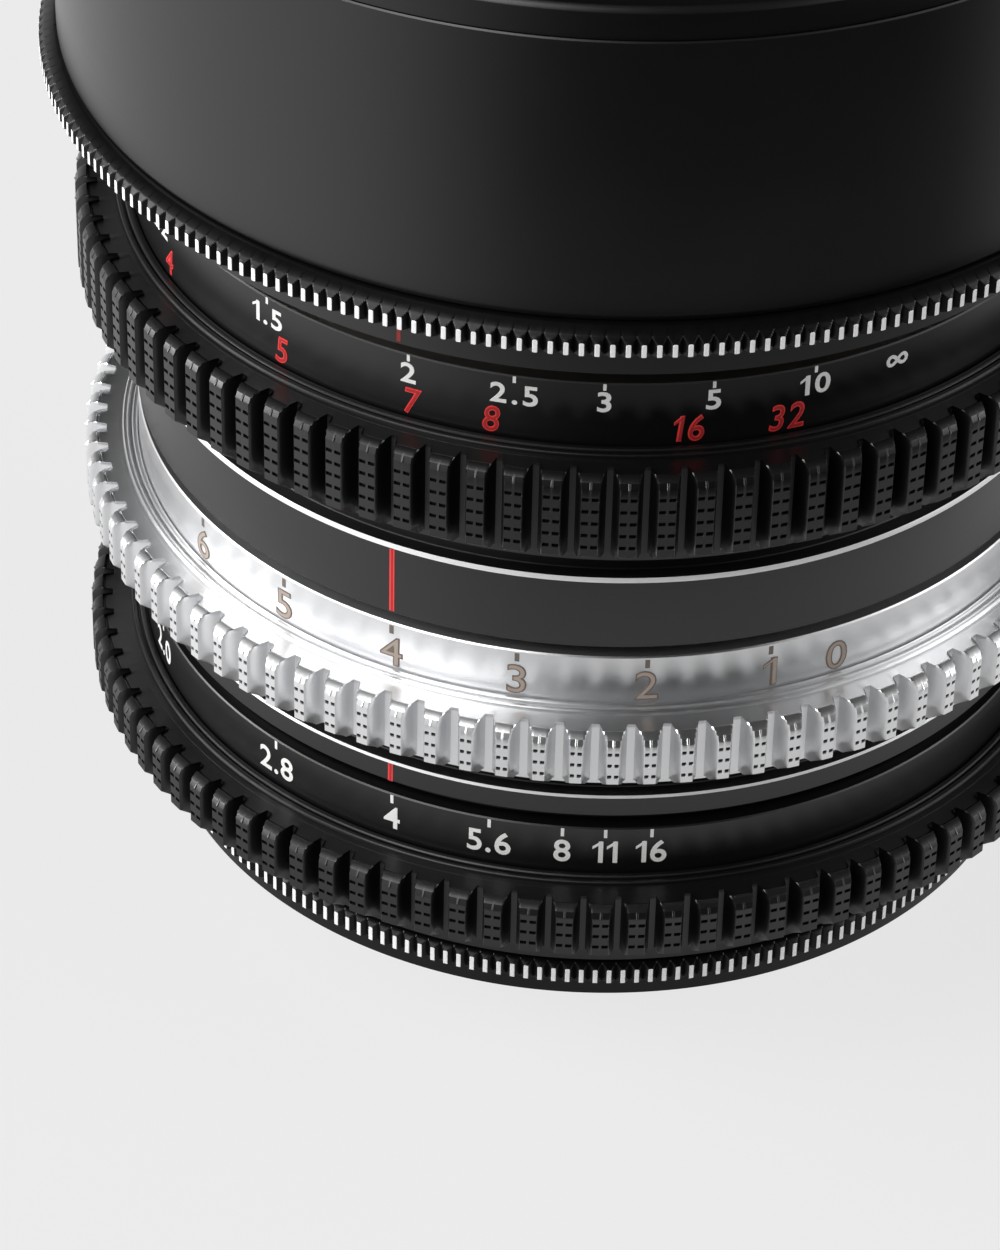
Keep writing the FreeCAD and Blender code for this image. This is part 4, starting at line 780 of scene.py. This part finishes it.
class LENS_OT_front_knurl(bpy.types.Operator):
    """Make the front knurled ring and the index ring behind it"""

    bl_idname = "lens.front_knurl"
    bl_label = "Front knurled ring"
    bl_options = {"REGISTER", "UNDO"}

    def execute(self, context):
        colours = context.scene.lens_colours
        low, high = heights("front_knurled_ring")
        tip = 40.5
        land_low, land_high = low + 1.09, low + 2.04
        slope = [(tip - 0.4 * part, land_high + 0.45 * part, 0.0) for part in (0.25, 0.5, 0.75, 1.0)]
        knurled("front_grip", [(INNER_WALL, low), (38.7, low), (tip, land_low), (tip, land_high, 0.0)] + slope + [
            (39.4, high - 0.06), (39.1, high), (INNER_WALL, high)],
            count=254, tip=tip, phase=-0.14, lands=(land_low - 0.02, land_high + 0.02),
            finish_name="knurled_black_front", body="front_unit", node="front_knurled_ring")
        low, high = heights("front_index_ring")
        foot, flange, radius = low - 1.43, 36.44, 36.5
        turned("index_collar", [(INNER_WALL, low), (flange, low), (flange, foot), (radius, foot), (radius, high),
                                (INNER_WALL, high)],
               black_anodised("barrel_black_front", colours.black, 0.42), "front_unit",
               ["front_index_ring"])
        marks("front_index_tick", [(1.5, 0.29, foot + 0.2, low - 0.05)], radius,
              paint("index_red_front", shade_of(colours.red, 0.3)), "front_unit", "index_red")
        return {"FINISHED"}


# Half the section of a rounded bead, and its mirror image: shares of its half width and of its rise
BEAD = ((1.0, 0.0), (0.98, 0.45), (0.82, 0.75), (0.5, 0.94), (0.0, 1.0), (-0.5, 0.94), (-0.82, 0.75),
        (-0.98, 0.45), (-1.0, 0.0))


def control_ring(name, node, slot, finish, bore, hub, band, ledge, back, beads, phase, rows, first, widths,
                 front=0.0):
    """A control ring: a turned hub with rounded beads and a scale band, and the geared rim round it.

    The node's name is also its body's. The scale band stands `front` proud of the node's front end. A bead
    is (inner radius, outer radius, rise).
    """
    low, high = heights(node)
    high += front
    seat, floor = 36.0, ledge + 0.004
    narrow = bore[-1][0]
    if hub > narrow:
        outline = [(narrow, low), (hub, low), (hub, ledge - 0.3), (seat, ledge - 0.3)]
    else:
        outline = [(narrow, low), (seat, low)]
    outline.append((seat, floor))
    for inner, outer, rise in reversed(beads):
        middle, half = (inner + outer) / 2, (outer - inner) / 2
        outline += [(middle + half * across, floor + rise * up, 0.0) for across, up in BEAD]
    outline += [(band, floor), (band, high, 0.1)] + [(bore[0][0], high)] + bore[1:-1]
    turned(name + "_band", outline, finish, node, [node])
    geared_rim(name + "_teeth", hub - 0.1, ledge, back, phase, rows, first, widths, finish, node)


class LENS_OT_focus_ring(bpy.types.Operator):
    """Make the focus ring with its teeth, beads and distance scales"""

    bl_idname = "lens.focus_ring"
    bl_label = "Focus ring"
    bl_options = {"REGISTER", "UNDO"}

    def execute(self, context):
        sizes, colours = context.scene.lens_sizes, context.scene.lens_colours
        low, high = heights("focus_ring")
        ledge, front = high - 5.03, 0.18
        ring = "focus_ring", "ring_black"
        thread, shoulder, bottom = 33.0, low + 8.0, low + 6.2
        control_ring(
            "focus_grip", *ring, black_anodised("ring_black", colours.black, 0.33),
            bore=[(thread, high), (thread, shoulder), (32.65, shoulder), (32.65, bottom), (RING_BORE, bottom),
                  (RING_BORE, low)],
            hub=HUB, band=BAND, ledge=ledge, back=ledge - 6.45, beads=[(34.5, 35.1, 0.34), (35.18, 35.6, 0.26)],
            phase=3.215, rows=5, first=0.76, widths=(sizes.gear_land, sizes.gear_floor), front=front)
        white = paint("focus_white", colours.white)
        red = paint("focus_red", colours.red)
        # Painted shade: the insides of the feet figures are a darker red that stands for the shade inside their
        # engravings
        red_painted_shade = paint("focus_deep_red", shade_of(colours.red, 0.45))
        metres = (("1.2", -41.2), ("1.5", -18.25), ("2", 1.1), ("2.5", 13.4), ("3", 23.4), ("5", 35.5),
                  ("10", 47.3), ("1.0", -61.9), ("0.9", -77.7), ("0.8", -97.1), ("0.7", -124.2),
                  ("0.6", -162.2), ("0.5", -220.3))
        feet = (("4", -38.35), ("5", -16.0), ("7", 1.7), ("8", 10.9), ("16", 32.9), ("32", 44.1))
        numerals("distance_metres", metres, BAND, white, *ring, middle=55.65, size=1.62, narrow=1.08, spacing=0.2)
        endless_sign("distance_endless", BAND, white, *ring, azimuth=57.8, middle=55.7, width=1.75, height=0.95,
                     stroke=0.26)
        marks("distance_ticks", [(azimuth, 0.22, high + front - 0.55, high + front - 0.04)
                                 for _, azimuth in metres], BAND, white, *ring)
        # The darker insides of the feet figures are painted shade of the engraving
        inlaid_numerals("distance_feet", feet, BAND, red, red_painted_shade, "focus_ring", "index_red", middle=53.45,
                        size=2.1, weight=0.05, inset=0.08, slant=0.12, narrow=0.85)
        return {"FINISHED"}


class LENS_OT_bokeh_ring(bpy.types.Operator):
    """Make the bare aluminium bokeh ring with its teeth and scale"""

    bl_idname = "lens.bokeh_ring"
    bl_label = "Bokeh ring"
    bl_options = {"REGISTER", "UNDO"}

    def execute(self, context):
        sizes, colours = context.scene.lens_sizes, context.scene.lens_colours
        low, high = heights("bokeh_ring")
        ledge = high - 4.15
        ring = "bokeh_ring", "bare_aluminium"
        control_ring(
            "bokeh_grip", *ring, bare_aluminium("bare_aluminium", shade_of(colours.aluminium, 0.97), 0.34),
            bore=[(RING_BORE, high), (RING_BORE, low)], hub=HUB, band=BAND, ledge=ledge, back=ledge - 4.25,
            beads=[(34.5, 34.95, 0.3), (35.2, 35.65, 0.3)], phase=2.715, rows=3, first=0.62,
            widths=(sizes.bright_land, sizes.bright_floor))
        taupe = paint("bokeh_taupe", colours.taupe)
        pale = paint("bokeh_pale", shade_of(colours.taupe, 2.6))
        scale = (("6", -31.3), ("5", -16.06), ("4", -0.77), ("3", 14.5), ("2", 29.5), ("1", 44.06))
        inlaid_numerals("bokeh_figures", (*scale, ("0", 52.6)), BAND, taupe, pale, *ring, middle=high - 2.45,
                        size=2.5, weight=0.07, inset=0.1, narrow=1.05)
        marks("bokeh_ticks", [(azimuth, 0.33, high - 0.95, high - 0.25) for _, azimuth in scale], BAND, taupe,
              *ring)
        return {"FINISHED"}


class LENS_OT_aperture_ring(bpy.types.Operator):
    """Make the aperture ring with its teeth, beads and scale"""

    bl_idname = "lens.aperture_ring"
    bl_label = "Aperture ring"
    bl_options = {"REGISTER", "UNDO"}

    def execute(self, context):
        sizes, colours = context.scene.lens_sizes, context.scene.lens_colours
        low, high = heights("aperture_ring")
        ring = "aperture_ring", "ring_black"
        control_ring(
            "aperture_grip", *ring, black_anodised("ring_black_rear", colours.black, 0.33),
            bore=[(RING_BORE, high), (RING_BORE, low)], hub=RING_BORE, band=REAR_BAND, ledge=high - 4.28,
            back=low + 0.3, beads=[(34.3, 34.85, 0.34), (34.95, 35.4, 0.26)], phase=2.125, rows=3, first=0.56,
            widths=(sizes.gear_land, sizes.gear_floor))
        white = paint("aperture_white", colours.white)
        scale = (("2.0", -45.5), ("2.8", -18.0), ("4", -0.74), ("5.6", 11.6), ("8", 20.4), ("11", 25.5),
                 ("16", 31.0), ("1.7", -61.3))
        numerals("aperture_figures", scale, REAR_BAND, white, *ring, middle=high - 2.15, size=2.0)
        marks("aperture_ticks", [(azimuth, 0.24, high - 0.85, high - 0.12) for _, azimuth in scale], REAR_BAND,
              white, *ring)
        return {"FINISHED"}


def index_line(name, azimuth, low, high, radius, colour):
    """An engraved index line: bright red edges and a floor of darker red between them, which is painted shade of
    the engraved groove.
    """
    # Painted shade: the line's floor is a darker red for the shade in its groove
    dark = paint(name + "_dark", shade_of(colour, 0.45))
    marks(name, [(azimuth, 0.38, low, high)], radius, paint(name + "_red", colour), "barrel", "index_red")
    marks(name + "_floor", [(azimuth, 0.14, low, high)], radius + INSIDE_LIFT, dark, "barrel", "index_red")


def index_band(name, node, ending, radius, step, edge, drop, inset, azimuth, line_foot, line_top):
    """A black band that stands on a narrow neck, with a bare polished edge and a red index line.

    The band reaches from `step` to `edge` above the node's lowest point. The polished edge leans inwards by
    `inset` over its last `drop` of height, and stands a hair proud of the band. The line runs from
    `line_foot` above the step to `line_top` below the edge.
    """
    colours = bpy.context.scene.lens_colours
    low, high = heights(node)
    step, edge = low + step, low + edge
    root, proud = 33.9, 0.005
    turned(name + "_band", [
        (TUBE_SEAT, low), (NECK, low), (NECK, step), (radius, step), (radius, edge - drop, 0.0),
        (radius - inset, edge, 0.0), (NECK, edge), (NECK, high), (TUBE_SEAT, high)],
        black_anodised("barrel_black" + ending, colours.black, 0.36), "barrel", [node])
    turned(name + "_bright_edge", [
        (root, edge - drop / 0.6), (radius + proud, edge - drop * 1.1), (radius + proud, edge - drop, 0.0),
        (radius - inset + 2 * proud, edge + proud, 0.0), ((root + radius) / 2, edge - 0.1)],
        bare_aluminium("polished_edge" + ending, shade_of(colours.aluminium, 1.1), 0.3, metallic=0.15),
        "barrel")
    index_line(name + "_index_line", azimuth, step + line_foot, edge - line_top, radius, colours.red)


class LENS_OT_middle_barrel(bpy.types.Operator):
    """Make the middle barrel with its polished edge and red index line"""

    bl_idname = "lens.middle_barrel"
    bl_label = "Middle barrel"
    bl_options = {"REGISTER", "UNDO"}

    def execute(self, context):
        index_band("middle", "mid_barrel", "", radius=BAND, step=0.68, edge=6.58, drop=0.3, inset=0.14,
                   azimuth=-0.75, line_foot=0.2, line_top=0.36)
        return {"FINISHED"}


class LENS_OT_rear_index_band(bpy.types.Operator):
    """Make the thin rear index band with its polished edge"""

    bl_idname = "lens.rear_index_band"
    bl_label = "Rear index band"
    bl_options = {"REGISTER", "UNDO"}

    def execute(self, context):
        index_band("rear", "rear_index_band", "_rear", radius=34.3, step=1.08, edge=2.88, drop=0.18, inset=0.09,
                   azimuth=-0.88, line_foot=0.02, line_top=0.22)
        return {"FINISHED"}


class LENS_OT_rear_barrel(bpy.types.Operator):
    """Make the rear housing and its knurled ring"""

    bl_idname = "lens.rear_barrel"
    bl_label = "Rear barrel"
    bl_options = {"REGISTER", "UNDO"}

    def execute(self, context):
        low, high = heights("rear_knurled_ring")
        tip, foot, spigot = 33.63, 29.45, 29.4
        lip, shoulder = low + 1.3, low + 0.65
        knurled("rear_grip", [(foot, low), (33.1, low), (NECK, lip), (tip, lip + 0.15), (tip, high - 0.58, 0.0),
                              (tip - 0.08, high - 0.5, 0.0), (tip - 0.16, high - 0.42, 0.0),
                              (tip - 0.25, high - 0.33, 0.0), (NECK, high - 0.2), (INNER_WALL, high),
                              (INNER_WALL, shoulder), (foot, shoulder)],
                count=210, tip=tip, phase=0.964, lands=(lip + 0.1, high - 0.6),
                finish_name="knurled_black_rear", body="barrel", node="rear_knurled_ring")
        low, top = heights("rear_housing")
        bore, floor, shoulder = 27.2, low + 4.0, low + 0.65
        turned("rear_sleeve", [(bore, low), (spigot, low), (spigot, shoulder), (INNER_WALL, shoulder),
                               (INNER_WALL, high), (NECK, high), (NECK, top), (TUBE_SEAT, top),
                               (TUBE_SEAT, floor), (bore, floor)],
               black_anodised("barrel_black_sleeve", context.scene.lens_colours.black, 0.4), "barrel",
               ["rear_housing"])
        return {"FINISHED"}


class LENS_OT_glass(bpy.types.Operator):
    """Give the glass elements their coated surfaces"""

    bl_idname = "lens.glass"
    bl_label = "Glass"
    bl_options = {"REGISTER", "UNDO"}

    def execute(self, context):
        warm, cool = (0.97, 0.93, 0.98), (0.93, 0.99, 0.95)
        tints = {"front_crown": cool, "front_flint": warm, "rear_crown": cool, "rear_flint": warm,
                 "bokeh_element": cool}
        for node, tint in tints.items():
            dress(node, coated_glass("coated_glass_" + node, tint))
        return {"FINISHED"}


class LENS_OT_inner_pieces(bpy.types.Operator):
    """Give the inner and rear pieces their finishes"""

    bl_idname = "lens.inner_pieces"
    bl_label = "Inner pieces"
    bl_options = {"REGISTER", "UNDO"}

    def execute(self, context):
        colours = context.scene.lens_colours
        finishes = (
            (black_anodised("inner_black", shade_of(colours.black, 1.5), 0.5), (
                "front_cell", "front_retaining_ring", "unit_clamp_ring", "optical_tube", "iris_housing",
                "iris_spacer", "rear_cell", "rear_spacer", "rear_retaining_ring", "cam_sleeve_retainer",
                "focus_retaining_ring", "bokeh_cell", "bokeh_retaining_ring", "main_tube")),
            (matte_black("rear_baffle_black"), ("rear_baffle",)),
            (plain_metal("inner_aluminium", (0.75, 0.76, 0.78), 0.32), ("helicoid_carrier", "iris_cam_ring")),
            (plain_metal("brass", (0.83, 0.62, 0.30), 0.28), (
                "focus_nut", "guide_keys", "bokeh_cam_sleeve", "bokeh_tongue")),
            (plain_metal("mount_chrome", (0.80, 0.80, 0.81), 0.16), ("mount_flange",)),
            (plain_metal("screw_steel", (0.60, 0.60, 0.61), 0.25), (
                "mount_screws", "band_set_screws", "guide_key_screws", "front_drum_screws", "cam_pins",
                "iris_drive_bar", "aperture_fork")),
            (plain_metal("blade_steel", (0.045, 0.045, 0.05), 0.4), tuple(
                f"iris_blade_{number}" for number in range(1, 9))),
            (washer_plastic(), ("aperture_washer", "bokeh_washer", "focus_washer")),
            (paint("mount_red", colours.red), ("mount_index_bead",)))
        for finish, nodes in finishes:
            for node in nodes:
                dress(node, finish)
        return {"FINISHED"}


# Studio


INDEX_TURN = math.radians(23.2)
CAMERA_SPOT = (0.0, -301.444, 245.852)    # millimetres, before the index turn
CAMERA_AXES = ((0.99910327, 0.03823849, 0.01817899), (-0.03788433, 0.6156498, 0.7871087),
               (0.01890596, -0.78709157, 0.61654636))
FOCAL_LENGTH = 143.22
LAMP_TARGET = (0, 0, 0.04)

# Sectors in which reflections see no light. Each has two soft edges, which are pairs of azimuths in degrees
FRONT_SECTOR = ((-56, -4), (60, 108))
ABOVE_SECTOR = ((-30, -17), (42, 54))


def around(azimuth, distance, height):
    """A point at an azimuth seen from the camera's side, in metres."""
    angle = math.radians(azimuth) + INDEX_TURN
    return (distance * math.sin(angle), -distance * math.cos(angle), height)


def stage_plane(name, corners, material):
    """A flat card through its corners, in metres."""
    mesh = bpy.data.meshes.new(name)
    mesh.from_pydata(corners, [], [(0, 1, 2, 3)])
    mesh.materials.append(material)
    card = bpy.data.objects.new(name, mesh)
    bpy.context.scene.collection.objects.link(card)


def fade(finish, value, low, high, to_low=0.0, to_high=1.0):
    """A soft step of a value between low and high."""
    return finish.add("ShaderNodeMapRange", {"interpolation_type": "SMOOTHSTEP"}, {
        "Value": value, "From Min": low, "From Max": high, "To Min": to_low, "To Max": to_high})[0]


def sector(finish, azimuth, left, right):
    """One between two soft edges round the axis, and zero outside them."""
    rise = fade(finish, azimuth, math.radians(left[0]), math.radians(left[1]))
    return rise * fade(finish, azimuth, math.radians(right[0]), math.radians(right[1]), 1.0, 0.0)


def seen_from_camera(finish, direction):
    """Parts of a direction along the camera's side and to its right, and the azimuth between them."""
    along, side = (finish.add("ShaderNodeVectorMath", {"operation": "DOT_PRODUCT"}, {
        0: direction, 1: around(azimuth, 1.0, 0.0)})[0] for azimuth in (0, 90))
    return along, side, side.maths("ARCTAN2", along)


def softbox(name, place, width, height, power):
    """A soft area lamp that faces the middle of the lens."""
    lamp = bpy.data.lights.new(name, "AREA")
    lamp.shape = "RECTANGLE"
    lamp.size, lamp.size_y, lamp.energy = width, height, power
    holder = bpy.data.objects.new(name, lamp)
    back = np.array(place, float) - np.array(LAMP_TARGET, float)
    back /= np.linalg.norm(back)
    right = np.cross((0, 0, 1), back)
    right /= np.linalg.norm(right)
    matrix = np.eye(4)
    matrix[:3] = np.stack([right, np.cross(back, right), back, place], 1)
    holder.matrix_world = Matrix(matrix.tolist())
    bpy.context.scene.collection.objects.link(holder)


class LENS_OT_studio(bpy.types.Operator):
    """Make the floor, the soft lamps, the dark flags in the air that shape the reflections, and the camera"""

    bl_idname = "lens.studio"
    bl_label = "Studio"
    bl_options = {"REGISTER", "UNDO"}

    def execute(self, context):
        scene = context.scene
        settings = scene.studio_settings
        scene.view_settings.view_transform = "Standard"
        self.floor(settings)
        self.world(scene, settings)
        softbox("left_softbox", around(-85, 0.75, 0.22), 0.5, 0.4, settings.left_power)
        softbox("high_softbox", around(-42, 0.50, 0.62), 0.4, 0.4, settings.high_power)
        softbox("right_softbox", around(82, 0.85, 0.26), 0.4, 0.45, settings.right_power)
        self.camera(scene)
        return {"FINISHED"}

    def floor(self, settings):
        """A pale floor. Reflections see it dark in front of the lens, and half dark close to its foot, where that
        darkening is a painted shadow of the lens.
        """
        finish = Finish("pale_floor")
        rays = finish.add("ShaderNodeLightPath")
        seen = (rays[0] + rays[3] + rays[6]).maths("MINIMUM", 1.0)
        place = finish.place()
        along, side, azimuth = seen_from_camera(finish, place)
        radius = (along * along + side * side).maths("POWER", 0.5)
        dark = fade(finish, radius, 96.0, 118.0) * sector(finish, azimuth, *FRONT_SECTOR)
        # Painted shadow: reflections see the floor half dark near the lens's foot, where the lens shades it
        shade = fade(finish, radius, 50.0, 80.0, 0.5, 0.0)
        colour = finish.mix(rays[3] * dark.maths("MAXIMUM", shade), tuple(settings.backdrop), (0.0, 0.0, 0.0))
        light = finish.add("ShaderNodeEmission", {}, {"Color": colour, "Strength": 1.0})[0]
        grain = finish.noise(place, 0.02, 2.0)
        matte = finish.add("ShaderNodeBsdfDiffuse", {}, {
            "Color": finish.mix(grain, (0.72, 0.72, 0.72), (0.76, 0.76, 0.76))})[0]
        share = seen * settings.floor_glow
        share = share + (1.0 - share) * rays[3]
        mixed = finish.add("ShaderNodeMixShader", {}, {0: share, 1: matte, 2: light})[0]
        finish.add("ShaderNodeOutputMaterial", {}, {0: mixed})
        finish.material.cycles.emission_sampling = "NONE"
        gap, size = 0.003, 3.0
        low = CAD_BOX[0][2] - gap
        stage_plane("floor", [(-size, -size, low), (size, -size, low), (size, size, low), (-size, size, low)],
                    finish.material)

    def world(self, scene, settings):
        """Even air. Reflections see dark flags in it: behind the lens, low and high in front, and overhead."""
        world = bpy.data.worlds.new("studio_air")
        world.use_nodes = True
        scene.world = world
        air = Finish("studio_air", world.node_tree)
        rays = air.add("ShaderNodeLightPath")
        seen = (rays[0] + rays[6]).maths("MINIMUM", 1.0)
        direction = air.add("ShaderNodeTexCoord")[0]
        height = air.add("ShaderNodeSeparateXYZ", {}, {0: direction})[2]
        along, _, azimuth = seen_from_camera(air, direction)
        behind = fade(air, along, -0.15, -0.45) * fade(air, height, 0.22, 0.4)
        front = sector(air, azimuth, *FRONT_SECTOR) * fade(air, height, 0.35, 0.15)
        above = sector(air, azimuth, *ABOVE_SECTOR) * fade(air, height, 0.95, 0.88)
        overhead = fade(air, height, 0.66, 0.82)
        dark = behind.maths("MAXIMUM", front).maths("MAXIMUM", above).maths("MAXIMUM", overhead) * (1.0 - seen)
        plain = air.mix(seen, shade_of(settings.backdrop, settings.air_light), tuple(settings.backdrop))
        colour = air.mix(dark, plain, (0.0, 0.0, 0.0))
        background = air.add("ShaderNodeBackground", {}, {"Color": colour, "Strength": 1.0})[0]
        air.add("ShaderNodeOutputWorld", {}, {0: background})

    def camera(self, scene):
        """The camera at the photograph's angle, turned with the index lines."""
        data = bpy.data.cameras.new("camera")
        data.lens = FOCAL_LENGTH
        data.sensor_fit = "AUTO"
        data.sensor_width = 36.0
        data.clip_start = 0.01
        camera = bpy.data.objects.new("camera", data)
        matrix = np.eye(4)
        matrix[:3, :3] = np.array(CAMERA_AXES).T
        matrix[:3, 3] = np.array(CAMERA_SPOT) * MM
        camera.matrix_world = Matrix.Rotation(INDEX_TURN, 4, "Z") @ Matrix(matrix.tolist())
        scene.collection.objects.link(camera)
        scene.camera = camera


OPERATORS = (
    LENS_OT_studio, LENS_OT_front_drum, LENS_OT_front_knurl, LENS_OT_focus_ring, LENS_OT_middle_barrel,
    LENS_OT_bokeh_ring, LENS_OT_rear_index_band, LENS_OT_aperture_ring, LENS_OT_rear_barrel, LENS_OT_glass,
    LENS_OT_inner_pieces)


class LENS_PT_pieces(bpy.types.Panel):
    """Lists the operators that make the lens and its studio"""

    bl_idname = "LENS_PT_pieces"
    bl_label = "Petzval lens"
    bl_space_type = "VIEW_3D"
    bl_region_type = "UI"
    bl_category = "Lens"

    def draw(self, context):
        for group in (context.scene.lens_sizes, context.scene.lens_colours, context.scene.studio_settings):
            box = self.layout.box()
            for name in group.__annotations__:
                box.prop(group, name)
        for operator in OPERATORS:
            self.layout.operator(operator.bl_idname)


GROUPS = {"lens_sizes": LensSizes, "lens_colours": LensColours, "studio_settings": StudioSettings}


def register():
    for thing in (*GROUPS.values(), *OPERATORS, LENS_PT_pieces):
        bpy.utils.register_class(thing)
    for name, group in GROUPS.items():
        setattr(bpy.types.Scene, name, PointerProperty(type=group))


def unregister():
    for name in GROUPS:
        delattr(bpy.types.Scene, name)
    for thing in (LENS_PT_pieces, *reversed(OPERATORS), *reversed(GROUPS.values())):
        bpy.utils.unregister_class(thing)


def main():
    """Register the add-on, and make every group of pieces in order."""
    register()
    for operator in OPERATORS:
        group, name = operator.bl_idname.split(".")
        getattr(getattr(bpy.ops, group), name)()
    bpy.context.view_layer.update()


if __name__ == "__main__":
    main()
